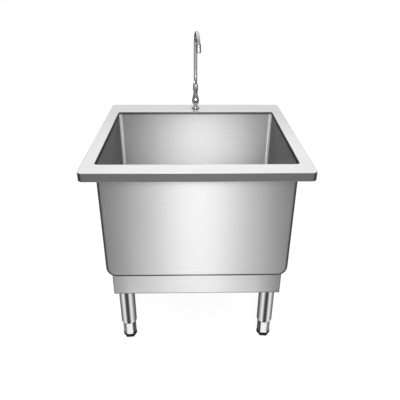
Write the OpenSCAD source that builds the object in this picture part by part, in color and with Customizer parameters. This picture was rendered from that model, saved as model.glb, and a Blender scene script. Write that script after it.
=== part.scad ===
// Free-standing utility sink: folded rim, deep tub, base frame on four legs, basket drain and gooseneck tap.
// Origin on the floor under the middle of the rim. X to the right, Y to the back, Z up. Millimetres.

/* [Rim] */
// Width of the rim, left to right
rim_w = 600; // [540:10:700]
// Depth of the rim, front to back
rim_d = 600; // [560:10:700]
// Height of the rim's top above the floor
rim_z = 628; // [610:1:760]
// Thickness of the rim's and the tub's sheet
sheet_t = 1.2; // [0.8:0.1:2]
// Height of the folded-down edge
apron_h = 25; // [18:1:40]
// Width of the inward fold under the edge
hem_w = 8; // [5:0.5:10]
// Outside radius of the rim's folds
fold_r = 2.5; // [2.2:0.1:4]
// Radius of the rim's four corners, seen from above
rim_corner_r = 14; // [12:0.5:25]
// Width of the rim beside the opening
side_flange = 31.5; // [26:0.5:50]
// Width of the rim in front of the opening
front_flange = 53; // [40:1:80]
// Width of the rim behind the opening
rear_deck = 87; // [80:1:110]
// Radius of the lip where the rim turns down into the tub
lip_r = 3.2; // [2.4:0.1:5]

/* [Tub] */
// Depth of the tub, from the rim's top to the underside of its floor
tub_depth = 363; // [320:1:380]
// Outside radius between the side walls and the floor
tub_floor_r = 30; // [24:1:38]
// Outside radius round the front and back walls
tub_edge_r = 11; // [6:0.5:12]
// Depth of the drain seat below the floor
seat_drop = 3; // [2.2:0.1:4]
// Radius of the drain seat
seat_r = 60; // [58.5:0.5:66]

/* [Base frame] */
// Height of the base frame
frame_h = 71; // [66:1:90]
// Thickness of the base frame's sheet
frame_t = 1.5; // [1:0.1:2]
// How far the base frame stands in from the tub's walls
frame_inset = 14; // [12:0.5:20]
// Radius of the base frame's corners
frame_corner_r = 3; // [2.2:0.1:5]
// Width of the top flange under the tub
frame_flange = 30; // [26:1:40]
// Width of the fold at the bottom edge
frame_hem = 8; // [4:0.5:8.5]
// Side of a corner gusset
gusset_w = 96; // [80:1:110]
// Thickness of a corner gusset
gusset_t = 3; // [2:0.5:5]
// Distance of each bearer from the middle
bearer_x = 120; // [95:5:140]
// Width of a bearer
bearer_w = 40; // [30:1:50]
// Depth of a bearer
bearer_h = 20; // [12:1:30]

/* [Legs] */
// Outside diameter of a leg
leg_d = 48; // [42:0.5:50]
// Wall of a leg
leg_wall = 1.5; // [1.2:0.1:2]
// Distance of a leg's axis from the base frame's faces
leg_inset = 33; // [33:0.5:38]
// Height of a leg's lower end above the floor
leg_low_z = 63; // [58:1:70]
// Thickness of a leg socket's plate
socket_plate_t = 4; // [3:0.5:5]
// Depth of a leg socket
socket_h = 50; // [35:1:54]
// Wall of a leg socket
socket_wall = 3; // [2.5:0.5:3.5]
// Distance of a socket's screws from the leg's axis, along X and Y
socket_screw_xy = 25; // [24.5:0.1:25.5]
// Diameter of a socket screw
socket_screw_d = 6; // [5:0.5:6]
// Diameter of a set screw
set_screw_d = 8; // [6:1:10]

/* [Feet] */
// Width of a levelling foot across its flats
foot_af = 36; // [30:0.5:37]
// Height of the foot's hexagon
foot_h = 51.8; // [46:0.2:56]
// Diameter of the foot's threaded stem
stem_d = 16; // [12:1:20]
// Length of the stem above the hexagon
stem_len = 50; // [45:1:60]
// Length of the threaded insert in the leg
insert_len = 30; // [20:1:40]
// How far a foot can be screwed in from its photographed height
foot_in = 10; // [6:0.5:12]
// Height of a rubber pad
pad_h = 13; // [10:0.5:16]
// Width of a rubber pad across its flats
pad_af = 37.5; // [36:0.5:40]
// How far the feet are turned in the photo, the left ones to the right and the right ones to the left
foot_turn = 5.5; // [-15:0.5:15]

/* [Drain] */
// Radius of the strainer's top flange
strainer_flange_r = 57; // [54:0.5:58]
// Thickness of the strainer's top flange
strainer_flange_t = 1.6; // [1.2:0.1:2]
// Outside radius of the strainer's cup
cup_r = 45; // [43:0.5:46]
// Wall of the strainer's cup
cup_wall = 1.5; // [1.2:0.1:2]
// Depth of the strainer's cup below its flange
cup_h = 44; // [40:1:56]
// Outside radius of the threaded outlet
outlet_r = 24; // [23:0.5:25]
// Length of the threaded outlet
outlet_len = 18; // [16:1:24]
// Thickness of the rubber gasket under the tub
gasket_t = 3; // [2:0.5:4]
// Thickness of the friction ring
friction_ring_t = 1; // [0.8:0.1:1.5]
// Height of the lock nut
locknut_h = 12; // [8:1:14]
// Outside radius of the tailpiece
tail_r = 19.05; // [18:0.05:19.2]
// Wall of the tailpiece
tail_wall = 1.2; // [1:0.1:1.5]
// Length of the tailpiece
tail_len = 105; // [90:5:140]

/* [Basket] */
// Radius of the basket's rim
basket_rim_r = 49; // [48:0.5:51]
// Outside radius of the basket's cup
basket_r = 39; // [36:0.5:40]
// Thickness of the basket's sheet
basket_t = 0.8; // [0.6:0.1:1]
// Depth of the basket below its rim
basket_h = 26; // [20:1:30]
// Holes in the outer ring of the basket's floor
basket_holes = 16; // [12:1:18]
// Radius of a basket hole
basket_hole_r = 2.2; // [1.5:0.1:2.6]
// Radius of the knob
knob_r = 9; // [7:0.5:12]
// Height of the knob
knob_h = 9; // [7:0.5:12]
// Radius of the basket's post
post_r = 3; // [2.5:0.1:4]
// Radius of the rubber stopper
stopper_r = 23; // [21:0.5:26]
// Thickness of the rubber stopper
stopper_t = 5; // [4:0.5:7]

/* [Tap] */
// Distance of the tap's axis from the rim's rear edge
tap_back = 48; // [46:1:50]
// Radius of the base ring
tap_base_r = 14; // [13:0.5:16]
// Thickness of the base ring
tap_base_t = 3; // [2.5:0.5:4]
// Radius of the tap's neck
neck_r = 6.25; // [6:0.25:7]
// Height of the neck above the base ring
neck_h = 9; // [8:0.5:12]
// Largest radius of the tap's body
body_r = 12.25; // [11:0.25:13]
// Radius of the body's waist
waist_r = 7.3; // [7.2:0.1:8]
// Height of the body from neck to waist
body_h = 44; // [42:1:50]
// Outside diameter of the spout tube
spout_d = 12; // [10:0.5:12]
// Wall of the spout tube
spout_wall = 1; // [0.8:0.1:1.5]
// Height of the spout's bend centre above the rim
bend_z = 218; // [160:2:240]
// Radius of the spout's bend, to the tube's middle
bend_r = 40; // [30:1:60]
// Angle of the spout's bend
bend_turn = 160; // [120:5:180]
// Turn of the spout to the right
spout_turn = 6; // [0:1:30]
// Radius of the spout nut
spout_nut_r = 8.9; // [8.8:0.1:9.5]
// Height of the spout nut
spout_nut_h = 23; // [21:1:28]
// Radius of the nozzle
nozzle_r = 7.8; // [7.5:0.1:9]
// Length of the nozzle
nozzle_len = 29; // [18:1:35]
// Length of the lever from its axis
lever_len = 69; // [50:1:85]
// Width of the lever at its root
lever_root_w = 10; // [8:0.5:12]
// Width of the lever at its tip
lever_tip_w = 6; // [5:0.5:8]
// Thickness of the lever
lever_t = 3.5; // [3:0.5:5]
// Radius of the lever's hub
hub_r = 8.5; // [8:0.5:10]

/* [Tap mounting] */
// Outside diameter of the threaded shank
shank_d = 16.66; // [16:0.01:17]
// Length of the shank below the rim
shank_len = 50; // [40:1:70]
// Side of the backing plate under the deck
backing_w = 50; // [44:1:56]
// Thickness of the backing plate
backing_t = 3; // [2:0.5:5]
// Width of the mounting nut across its flats
shank_nut_af = 24; // [22:0.5:27]
// Height of the mounting nut
shank_nut_h = 6; // [5:0.5:10]

/* [Hidden] */
$fn = 64;
// Radial clearance of a pushed-in, screwed-in or turning fit
fit = 0.05;
// Clearance of a loose piece
loose = 0.3;
// Overrun of a cut past a face
over = 1;
// How far a flat strip overlaps the plate that it is folded from
strip = 3;
// Height that the tools of a press reach above the tub
reach = 5;

// Opening of the rim, and the tub under it
open_w = rim_w - 2 * side_flange;
open_d = rim_d - front_flange - rear_deck;
open_y = (front_flange - rear_deck) / 2;
tub_in_w = open_w - 2 * lip_r;
tub_in_d = open_d - 2 * lip_r;
tub_w = tub_in_w + 2 * sheet_t;
tub_d = tub_in_d + 2 * sheet_t;
tub_low_z = rim_z - tub_depth;
tub_floor_z = tub_low_z + sheet_t;
tub_top_z = rim_z - lip_r;
wall_edge_r = tub_edge_r - sheet_t;
seat_z = tub_floor_z - seat_drop;

// Base frame
frame_w = tub_w - 2 * frame_inset;
frame_d = tub_d - 2 * frame_inset;
frame_low_z = tub_low_z - frame_h;
frame_inner_w = frame_w - 2 * frame_t;
frame_inner_d = frame_d - 2 * frame_t;
flange_under_z = tub_low_z - frame_t;
gusset_low_z = flange_under_z - gusset_t;
gusset_cut_share = 0.36;

// Legs and sockets
leg_r = leg_d / 2;
leg_x = frame_w / 2 - leg_inset;
leg_dy = frame_d / 2 - leg_inset;
leg_top_z = gusset_low_z - socket_plate_t;
leg_in_r = leg_r - leg_wall;
socket_in_r = leg_r + fit;
socket_r = socket_in_r + socket_wall;
socket_low_z = leg_top_z - socket_h;
socket_side = 2 * (leg_inset - frame_t - fit);
socket_corner_r = 6;
screw_r = socket_screw_d / 2;
screw_head_r = 5.6;
screw_head_h = 4;
set_screw_r = set_screw_d / 2;
set_boss_r = set_screw_r + socket_wall;
set_boss_len = 5;
set_screw_share = 0.7;
set_screw_z = leg_top_z - socket_h * set_screw_share;
CORNERS = [[-1, -1, "fl"], [1, -1, "fr"], [-1, 1, "bl"], [1, 1, "br"]];

// Feet
stem_r = stem_d / 2;
pad_gap = 0.2;
foot_low_z = pad_h + pad_gap;
foot_top_z = foot_low_z + foot_h;
insert_low_z = foot_top_z + foot_in + loose;
foot_corner_r = foot_af / sqrt(3);
foot_chamfer = 1.6;
spigot_r = 7;
spigot_h = 6;
pad_corner_r = pad_af / sqrt(3);
pad_foot_r = 1.5;

// Drain, from the top down
drain_hole_r = cup_r + over;
flange_top_z = seat_z + strainer_flange_t;
cup_in_r = cup_r - cup_wall;
cup_low_z = seat_z - cup_h;
outlet_in_r = 18;
outlet_low_z = cup_low_z - outlet_len;
seat_under_z = seat_z - sheet_t;
gasket_low_z = seat_under_z - gasket_t;
gasket_out_r = 56;
ring_low_z = gasket_low_z - friction_ring_t;
ring_out_r = 54;
locknut_low_z = ring_low_z - locknut_h;
locknut_out_r = 50;
locknut_lugs = 6;
lug_w = 8;
lug_out_r = 54;
tail_washer_t = 2;
tail_flange_t = 1.6;
tail_flange_r = 22.5;
tail_top_z = outlet_low_z - tail_washer_t;
slip_nut_wall = 3;
slip_nut_gap = 4;
slip_nut_top_z = cup_low_z - slip_nut_gap;
slip_nut_low_z = tail_top_z - tail_flange_t - slip_nut_wall;
tail_groove = 0.4;
tail_groove_w = 2;
tail_low_nut_z = slip_nut_low_z - loose;
tail_free_len = tail_low_nut_z - tail_groove_w - (tail_top_z - tail_len);
slip_nut_ribs = 8;
slip_nut_rib_r = 2.4;

// Basket
basket_low_z = flange_top_z - basket_h;
stopper_low_z = cup_low_z + cup_wall + loose;
post_rise = 6;
knob_low_z = flange_top_z + post_rise;
knob_root_share = 0.6;
hole_inset_share = 2.4;

// Tap levels above the rim and the parts inside it
tap_y = rim_d / 2 - tap_back;
tap_gasket_t = 1;
base_low = tap_gasket_t;
neck_low = base_low + tap_base_t;
neck_top = neck_low + neck_h;
waist_top = neck_top + body_h;
throat_h = 7;
nut_low = waist_top + throat_h;
nut_top = nut_low + spout_nut_h;
spout_r = spout_d / 2;
spout_in_r = spout_r - spout_wall;
throat_depth = 12;
throat_rise = 8;
throat_top = nut_low + throat_rise;
thread_r = 4.9;
water_r = 3.5;
thread_len = 10;
bulb_peak_share = 0.3;
body_steps = 16;
seal_t = 1.4;
seal_r = 7.15;
bead_r = 7;
bead_h = 1.6;
bead_z = throat_top + 2 * seal_t + 3 * loose;
bead_room_top = bead_z + bead_h + loose;
nut_bevel = 1.4;
hub_height_share = 0.4;
hub_z = neck_top + body_h * hub_height_share;
grub_r = 1.5;
grub_len = 1.2;
grub_height_share = 0.4;
grub_z = neck_low + neck_h * grub_height_share;
grub_turn = 35;

// Cartridge and lever, as distances in front of the tap's axis
cart_r = 7;
cart_back = 5;
cart_front = 12;
boss_r = 8.6;
cart_nut_t = 3.4;
spindle_r = 3;
spindle_depth = 3;
flow_r = 2.4;
hub_back = cart_front + cart_nut_t + loose;
hub_t = 6;
hub_front = hub_back + hub_t;
cap_r = 2.8;
cap_t = 1.2;
lever_lean = 4;

// Nozzle and aerator
nozzle_seat = 10;
spout_step = 0.15;
nozzle_thread_r = spout_r - spout_step;
nozzle_lip = 1.5;
nozzle_round = 1.6;
aerator_r = 6.3;
aerator_h = 6;
aerator_hole_r = 0.8;
aerator_ring_r = 3.6;
aerator_holes = 6;

// Tap mounting under the deck
shank_r = shank_d / 2;
shank_hole_r = shank_r + loose;
deck_under_z = rim_z - sheet_t;
backing_low_z = deck_under_z - backing_t;
rubber_washer_t = 2;
steel_washer_t = 1.5;
washer_r = 13.5;
rubber_low_z = backing_low_z - rubber_washer_t;
steel_low_z = rubber_low_z - steel_washer_t;
shank_nut_low_z = steel_low_z - shank_nut_h;
shank_nut_chamfer = 0.8;
backing_corner_r = 6;
shank_groove = 0.7;
shank_groove_w = 1.5;
shank_free_len = shank_nut_low_z - (rim_z - shank_len) - shank_groove_w - loose;

// Finishes as the photo shows them
STEEL = "gainsboro";
BRIGHT = "silver";
DARK = "dimgray";
RUBBER = "black";

// Shared shapes

// Rectangle with round corners, centred
module rounded_rect(w, d, r) {
    square([w - 2 * r, d], center = true);
    square([w, d - 2 * r], center = true);
    for (x = [-1, 1], y = [-1, 1]) {
        translate([x * (w / 2 - r), y * (d / 2 - r)])
            circle(r);
    }
}

// Sweeps a profile round a rectangle. The profile's X runs outwards from the corner's centre.
module sweep_round(w, d, r) {
    in_w = w - 2 * r;
    in_d = d - 2 * r;
    corners = [[in_w, in_d, 0], [-in_w, in_d, 90], [-in_w, -in_d, 180], [in_w, -in_d, 270]];
    for (c = corners) {
        translate([c[0] / 2, c[1] / 2, 0])
            rotate([0, 0, c[2]])
                rotate_extrude(angle = 90)
                    children();
    }
    sides = [[in_w / 2, in_d, 0], [in_d / 2, in_w, 90], [in_w / 2, in_d, 180], [in_d / 2, in_w, 270]];
    for (s = sides) {
        rotate([0, 0, s[2]])
            translate([s[0], s[1] / 2, 0])
                rotate([90, 0, 0])
                    linear_extrude(s[1])
                        children();
    }
}

// Quarter of a bent sheet, centred on its bend, in the quadrant that sx and sy name
module bend(r, t, sx, sy) {
    intersection() {
        difference() {
            circle(r);
            circle(r - t);
        }
        translate([sx > 0 ? 0 : -r, sy > 0 ? 0 : -r])
            square(r);
    }
}

// Solid ring or washer
module ring(z, h, r_out, r_in) {
    translate([0, 0, z])
        rotate_extrude()
            translate([r_in, 0])
                square([r_out - r_in, h]);
}

// A box whose section across X has large lower corners, with small rounds along its front and back edges
module bin(w, d, h, r, edge) {
    rotate([90, 0, 0])
        linear_extrude(d - 2 * edge, center = true)
            bin_section(w, h, r);
    translate([0, 0, edge])
        rotate([90, 0, 0])
            linear_extrude(d, center = true)
                bin_section(w - 2 * edge, h - edge, r - edge);
    for (x = [-1, 1], y = [-1, 1]) {
        translate([x * (w / 2 - edge), y * (d / 2 - edge), r])
            cylinder(r = edge, h = h - r);
        translate([x * (w / 2 - r), y * (d / 2 - edge), r])
            rotate([90, x > 0 ? 90 : 180, 0])
                rotate_extrude(angle = 90)
                    translate([r - edge, 0])
                        circle(edge);
    }
    for (y = [-1, 1]) {
        translate([0, y * (d / 2 - edge), edge])
            rotate([0, 90, 0])
                cylinder(r = edge, h = w - 2 * r, center = true);
    }
}

// Section of the box above: round lower corners, open upper ones
module bin_section(w, h, r) {
    translate([-w / 2 + r, 0])
        square([w - 2 * r, h]);
    translate([-w / 2, r])
        square([w, h - r]);
    for (x = [-1, 1]) {
        translate([x * (w / 2 - r), r])
            circle(r);
    }
}

// Places its children on the axis of one leg
module at_leg(c) {
    translate([c[0] * leg_x, open_y + c[1] * leg_dy, 0])
        children();
}

// Rim and tub

// The folded edge, from the flat deck down and in again
module rim_edge_section() {
    x = rim_corner_r;
    translate([x - fold_r - strip, -sheet_t])
        square([strip, sheet_t]);
    translate([x - fold_r, -fold_r])
        bend(fold_r, sheet_t, 1, 1);
    translate([x - sheet_t, -apron_h + fold_r])
        square([sheet_t, apron_h - 2 * fold_r]);
    translate([x - fold_r, -apron_h + fold_r])
        bend(fold_r, sheet_t, 1, -1);
    translate([x - hem_w, -apron_h])
        square([hem_w - fold_r, sheet_t]);
}

// The lip that turns down to the tub
module lip_section() {
    x = wall_edge_r + lip_r;
    translate([x, -sheet_t])
        square([strip, sheet_t]);
    translate([x, -lip_r])
        bend(lip_r, sheet_t, -1, 1);
}

module rim_deck() {
    color(STEEL)
        translate([0, 0, rim_z]) {
            translate([0, 0, -sheet_t])
                linear_extrude(sheet_t)
                    difference() {
                        rounded_rect(rim_w - 2 * fold_r, rim_d - 2 * fold_r, rim_corner_r - fold_r);
                        translate([0, open_y])
                            rounded_rect(open_w, open_d, wall_edge_r + lip_r);
                        translate([0, tap_y])
                            circle(shank_hole_r);
                    }
            sweep_round(rim_w, rim_d, rim_corner_r)
                rim_edge_section();
            translate([0, open_y, 0])
                sweep_round(tub_in_w, tub_in_d, wall_edge_r)
                    lip_section();
        }
}

module tub() {
    h = tub_top_z - tub_low_z;
    color(STEEL)
        translate([0, open_y, 0])
            difference() {
                union() {
                    translate([0, 0, tub_low_z])
                        bin(tub_w, tub_d, h, tub_floor_r, tub_edge_r);
                    translate([0, 0, seat_under_z])
                        cylinder(r = seat_r + sheet_t, h = seat_drop + sheet_t);
                }
                translate([0, 0, tub_floor_z])
                    bin(tub_in_w, tub_in_d, h + reach, tub_floor_r - sheet_t, wall_edge_r);
                translate([0, 0, seat_z])
                    cylinder(r = seat_r, h = seat_drop + over);
                translate([0, 0, seat_under_z - over])
                    cylinder(r = drain_hole_r, h = sheet_t + 2 * over);
            }
}

// Base frame

module base_frame() {
    color(STEEL)
        translate([0, open_y, 0]) {
            translate([0, 0, frame_low_z])
                linear_extrude(frame_h)
                    difference() {
                        rounded_rect(frame_w, frame_d, frame_corner_r);
                        rounded_rect(frame_inner_w, frame_inner_d, frame_corner_r - frame_t);
                    }
            frame_fold(flange_under_z, frame_flange);
            frame_fold(frame_low_z, frame_hem);
        }
}

// A flat fold of the base frame, reaching inwards
module frame_fold(z, w) {
    translate([0, 0, z])
        linear_extrude(frame_t)
            difference() {
                rounded_rect(frame_w, frame_d, frame_corner_r);
                square([frame_w - 2 * w, frame_d - 2 * w], center = true);
            }
}

// One gusset, from the inside corner of the frame at the origin towards +X and +Y, with its inner corner cut
module gusset_outline() {
    cut = gusset_w * gusset_cut_share;
    polygon([[0, 0], [gusset_w, 0], [gusset_w, gusset_w - cut], [gusset_w - cut, gusset_w], [0, gusset_w]]);
}

module corner_gussets() {
    start = frame_corner_r;
    corner_x = frame_inner_w / 2 - fit;
    corner_dy = frame_inner_d / 2 - fit;
    color(STEEL)
        for (c = CORNERS) {
            difference() {
                translate([c[0] * corner_x, open_y + c[1] * corner_dy, gusset_low_z])
                    mirror([c[0] > 0 ? 1 : 0, 0, 0])
                        mirror([0, c[1] > 0 ? 1 : 0, 0])
                            linear_extrude(gusset_t)
                                difference() {
                                    gusset_outline();
                                    polygon([[-over, -over], [start, -over], [-over, start]]);
                                }
                at_leg(c)
                    screw_places()
                        translate([0, 0, gusset_low_z - over])
                            cylinder(r = screw_r + fit, h = gusset_t + 2 * over);
            }
        }
}

// The four places of a socket's screws round the leg's axis
module screw_places() {
    for (x = [-1, 1], y = [-1, 1]) {
        translate([x * socket_screw_xy, y * socket_screw_xy, 0])
            children();
    }
}

// Channel under the floor. Its top fits between the frame's flanges, its sides reach under them.
module bearer(x) {
    top_len = frame_d - 2 * frame_flange - 2 * fit;
    side_len = frame_inner_d - 2 * fit;
    color(STEEL)
        translate([x, open_y, 0]) {
            translate([-bearer_w / 2, -top_len / 2, flange_under_z])
                cube([bearer_w, top_len, frame_t]);
            for (side = [-bearer_w / 2, bearer_w / 2 - frame_t]) {
                translate([side, -side_len / 2, tub_low_z - bearer_h])
                    cube([frame_t, side_len, bearer_h - frame_t]);
            }
        }
}

// Legs

// Turns +X to the diagonal that points at the middle of the sink
module inward(c) {
    rotate([0, 0, atan2(-c[1], -c[0])])
        children();
}

module leg_socket(c) {
    color(DARK)
        at_leg(c)
            difference() {
                union() {
                    translate([0, 0, leg_top_z])
                        linear_extrude(socket_plate_t)
                            rounded_rect(socket_side, socket_side, socket_corner_r);
                    translate([0, 0, socket_low_z])
                        cylinder(r = socket_r, h = socket_h);
                    inward(c)
                        translate([0, 0, set_screw_z])
                            rotate([0, 90, 0])
                                cylinder(r = set_boss_r, h = socket_r + set_boss_len);
                }
                translate([0, 0, socket_low_z - over])
                    cylinder(r = socket_in_r, h = socket_h + over);
                inward(c)
                    translate([0, 0, set_screw_z])
                        rotate([0, 90, 0])
                            cylinder(r = set_screw_r + fit, h = socket_r + set_boss_len + over);
                screw_places()
                    translate([0, 0, leg_top_z - over])
                        cylinder(r = screw_r + fit, h = socket_plate_t + 2 * over);
            }
}

module socket_screws() {
    color(BRIGHT)
        for (c = CORNERS) {
            at_leg(c)
                screw_places() {
                    translate([0, 0, leg_top_z - screw_head_h])
                        cylinder(r = screw_head_r, h = screw_head_h, $fn = 6);
                    translate([0, 0, leg_top_z - screw_head_h / 2])
                        cylinder(r = screw_r, h = screw_head_h / 2 + socket_plate_t + gusset_t);
                }
        }
}

module leg_set_screws() {
    socket_key_r = set_screw_r / 2;
    color(DARK)
        for (c = CORNERS) {
            at_leg(c)
                inward(c)
                    translate([leg_r + fit, 0, set_screw_z])
                        rotate([0, 90, 0])
                            difference() {
                                cylinder(r = set_screw_r, h = socket_wall + set_boss_len);
                                translate([0, 0, socket_wall + set_boss_len / 2])
                                    cylinder(r = socket_key_r, h = set_boss_len, $fn = 6);
                            }
        }
}

module leg_tube(c) {
    color(BRIGHT)
        at_leg(c)
            ring(leg_low_z, leg_top_z - leg_low_z, leg_r, leg_in_r);
}

// Feet

module foot_insert(c) {
    color(DARK)
        at_leg(c)
            ring(insert_low_z, insert_len, leg_in_r - fit, stem_r + fit);
}

// Hexagon with its corners turned off at both ends
module turned_hexagon(h, corner_r, chamfer) {
    slope = chamfer / 2;
    intersection() {
        cylinder(r = corner_r, h = h, $fn = 6);
        union() {
            cylinder(r1 = corner_r - chamfer, r2 = corner_r + over, h = slope + slope * over / chamfer);
            translate([0, 0, slope])
                cylinder(r = corner_r + over, h = h - 2 * slope);
            translate([0, 0, h - slope - slope * over / chamfer])
                cylinder(r1 = corner_r + over, r2 = corner_r - chamfer, h = slope + slope * over / chamfer);
        }
    }
}

// Places its children on the axis of one foot, turned as the foot is
module at_foot(c) {
    at_leg(c)
        rotate([0, 0, -c[0] * foot_turn])
            children();
}

module foot(c) {
    color(BRIGHT)
        at_foot(c) {
            translate([0, 0, foot_low_z])
                turned_hexagon(foot_h, foot_corner_r, foot_chamfer);
            translate([0, 0, foot_top_z - over])
                cylinder(r = stem_r, h = stem_len + over);
            translate([0, 0, foot_low_z - spigot_h])
                cylinder(r = spigot_r, h = spigot_h + over);
        }
}

module foot_pad(c) {
    low_r = pad_corner_r - pad_foot_r;
    color(RUBBER)
        at_foot(c)
            difference() {
                intersection() {
                    cylinder(r = pad_corner_r, h = pad_h, $fn = 6);
                    union() {
                        cylinder(r1 = low_r, r2 = pad_corner_r + over, h = pad_foot_r + over);
                        translate([0, 0, pad_foot_r])
                            cylinder(r = pad_corner_r + over, h = pad_h);
                    }
                }
                translate([0, 0, foot_low_z - spigot_h - loose])
                    cylinder(r = spigot_r + fit, h = pad_h);
            }
}

// Drain

// Places its children on the drain's axis
module at_drain() {
    translate([0, open_y, 0])
        children();
}

module strainer_body() {
    color(BRIGHT)
        at_drain() {
            ring(seat_z, strainer_flange_t, strainer_flange_r, cup_in_r);
            ring(cup_low_z, cup_h + strainer_flange_t / 2, cup_r, cup_in_r);
            ring(cup_low_z, cup_wall, cup_r, outlet_in_r);
        }
}

// Threaded outlet, brazed under the cup's floor
module strainer_outlet() {
    color(BRIGHT)
        at_drain()
            ring(outlet_low_z, outlet_len, outlet_r, outlet_in_r);
}

module strainer_gasket() {
    color(RUBBER)
        at_drain()
            ring(gasket_low_z, gasket_t, gasket_out_r, cup_r + loose);
}

module friction_ring() {
    color("tan")
        at_drain()
            ring(ring_low_z, friction_ring_t, ring_out_r, cup_r + loose);
}

module strainer_locknut() {
    color(DARK)
        at_drain()
            translate([0, 0, locknut_low_z])
                linear_extrude(locknut_h)
                    difference() {
                        union() {
                            circle(locknut_out_r);
                            for (i = [0:locknut_lugs - 1]) {
                                rotate([0, 0, i * 360 / locknut_lugs])
                                    translate([0, -lug_w / 2])
                                        square([lug_out_r, lug_w]);
                            }
                        }
                        circle(cup_r + fit);
                    }
}

module tailpiece() {
    color(BRIGHT)
        at_drain() {
            ring(tail_top_z - tail_len, tail_free_len, tail_r, tail_r - tail_wall);
            ring(tail_top_z - tail_len, tail_len, tail_r - tail_groove, tail_r - tail_wall);
            ring(tail_low_nut_z, tail_top_z - tail_low_nut_z, tail_r, tail_r - tail_wall);
            ring(tail_top_z - tail_flange_t, tail_flange_t, tail_flange_r, tail_r - tail_wall);
        }
}

module tailpiece_washer() {
    color(RUBBER)
        at_drain()
            ring(tail_top_z, tail_washer_t, tail_flange_r, outlet_in_r);
}

module tailpiece_nut() {
    out_r = outlet_r + fit + slip_nut_wall;
    color(BRIGHT)
        at_drain() {
            translate([0, 0, slip_nut_low_z + slip_nut_wall])
                linear_extrude(slip_nut_top_z - slip_nut_low_z - slip_nut_wall)
                    difference() {
                        slip_nut_outline(out_r);
                        circle(outlet_r + fit);
                    }
            translate([0, 0, slip_nut_low_z])
                linear_extrude(slip_nut_wall)
                    difference() {
                        slip_nut_outline(out_r);
                        circle(tail_r + loose);
                    }
        }
}

// Round nut with grip ribs
module slip_nut_outline(out_r) {
    circle(out_r);
    for (i = [0:slip_nut_ribs - 1]) {
        rotate([0, 0, i * 360 / slip_nut_ribs])
            translate([out_r, 0])
                circle(slip_nut_rib_r);
    }
}

// Basket strainer

module strainer_basket() {
    inner_holes = basket_holes / 2;
    outer_ring_r = basket_r - basket_t - hole_inset_share * basket_hole_r;
    inner_ring_r = (outer_ring_r + post_r) / 2;
    color(BRIGHT)
        at_drain()
            difference() {
                union() {
                    ring(flange_top_z, basket_t, basket_rim_r, basket_r - basket_t);
                    ring(basket_low_z, basket_h + basket_t / 2, basket_r, basket_r - basket_t);
                    ring(basket_low_z, basket_t, basket_r, post_r + fit);
                }
                for (i = [0:basket_holes - 1]) {
                    rotate([0, 0, i * 360 / basket_holes])
                        translate([outer_ring_r, 0, basket_low_z - over])
                            cylinder(r = basket_hole_r, h = basket_t + 2 * over);
                }
                for (i = [0:inner_holes - 1]) {
                    rotate([0, 0, i * 360 / inner_holes])
                        translate([inner_ring_r, 0, basket_low_z - over])
                            cylinder(r = basket_hole_r, h = basket_t + 2 * over);
                }
            }
}

module basket_stopper() {
    color(RUBBER)
        at_drain()
            ring(stopper_low_z, stopper_t, stopper_r, post_r + fit);
}

module basket_post() {
    collar_r = 2 * post_r;
    spacer_low_z = stopper_low_z + stopper_t;
    color(BRIGHT)
        at_drain() {
            translate([0, 0, stopper_low_z])
                cylinder(r = post_r, h = knob_low_z + over - stopper_low_z);
            translate([0, 0, spacer_low_z])
                cylinder(r = collar_r, h = basket_low_z - spacer_low_z);
            translate([0, 0, knob_low_z])
                rotate_extrude()
                    knob_section();
        }
}

// Half section of the knob: a narrow root under a wide rounded top
module knob_section() {
    round_r = knob_h / 3;
    square([knob_r * knob_root_share, knob_h]);
    translate([0, knob_h - 2 * round_r])
        square([knob_r - round_r, 2 * round_r]);
    translate([knob_r - round_r, knob_h - round_r])
        circle(round_r);
}

// Tap

// Places its children on the tap's axis, at the level of the rim's top
module at_tap() {
    translate([0, tap_y, rim_z])
        children();
}

// Turns +Z to the front, so that a length there is a distance in front of the tap's axis
module to_front(z) {
    translate([0, 0, z])
        rotate([90, 0, 0])
            children();
}

module tap_base_gasket() {
    color(RUBBER)
        at_tap()
            ring(0, tap_gasket_t, tap_base_r - loose, shank_hole_r);
}

module tap_base_ring() {
    bevel = tap_base_t / 2;
    color(BRIGHT)
        at_tap()
            translate([0, 0, base_low])
                rotate_extrude()
                    polygon([
                        [thread_r + fit, 0],
                        [tap_base_r, 0],
                        [tap_base_r, tap_base_t - bevel],
                        [tap_base_r - bevel, tap_base_t],
                        [thread_r + fit, tap_base_t]
                    ]);
}

// Radius of the body at a share of its height: full from the neck to the bulb, then slowly in to the waist
function body_radius(s) = s < bulb_peak_share
    ? neck_r + (body_r - neck_r) * sqrt(1 - pow(1 - s / bulb_peak_share, 2))
    : waist_r + (body_r - waist_r) * (1 + cos(180 * (s - bulb_peak_share) / (1 - bulb_peak_share))) / 2;

module tap_body() {
    side = [for (i = [0:body_steps]) [body_radius(i / body_steps), neck_top + body_h * i / body_steps]];
    color(BRIGHT)
        at_tap()
            difference() {
                union() {
                    rotate_extrude()
                        polygon(concat(
                            [[0, neck_low], [neck_r, neck_low]],
                            side,
                            [[waist_r, throat_top], [0, throat_top]]
                        ));
                    to_front(hub_z)
                        cylinder(r = boss_r, h = cart_front);
                }
                translate([0, 0, neck_low - over])
                    cylinder(r = thread_r + fit, h = thread_len + over);
                translate([0, 0, neck_low])
                    cylinder(r = water_r, h = throat_top - neck_low);
                translate([0, 0, throat_top - throat_depth])
                    cylinder(r = spout_r + fit, h = throat_depth + over);
                to_front(hub_z)
                    translate([0, 0, -cart_back])
                        cylinder(r = cart_r + fit, h = cart_back + cart_front + over);
                grub_places()
                    cylinder(r = grub_r + fit, h = neck_r + over);
            }
}

// The places of the two grub screws, with Z pointing out of the neck
module grub_places() {
    for (turn = [-grub_turn, grub_turn]) {
        rotate([0, 0, turn])
            to_front(grub_z)
                children();
    }
}

module tap_grub_screws() {
    color(DARK)
        at_tap()
            grub_places()
                translate([0, 0, neck_r - grub_len])
                    cylinder(r = grub_r, h = grub_len);
}

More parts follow.
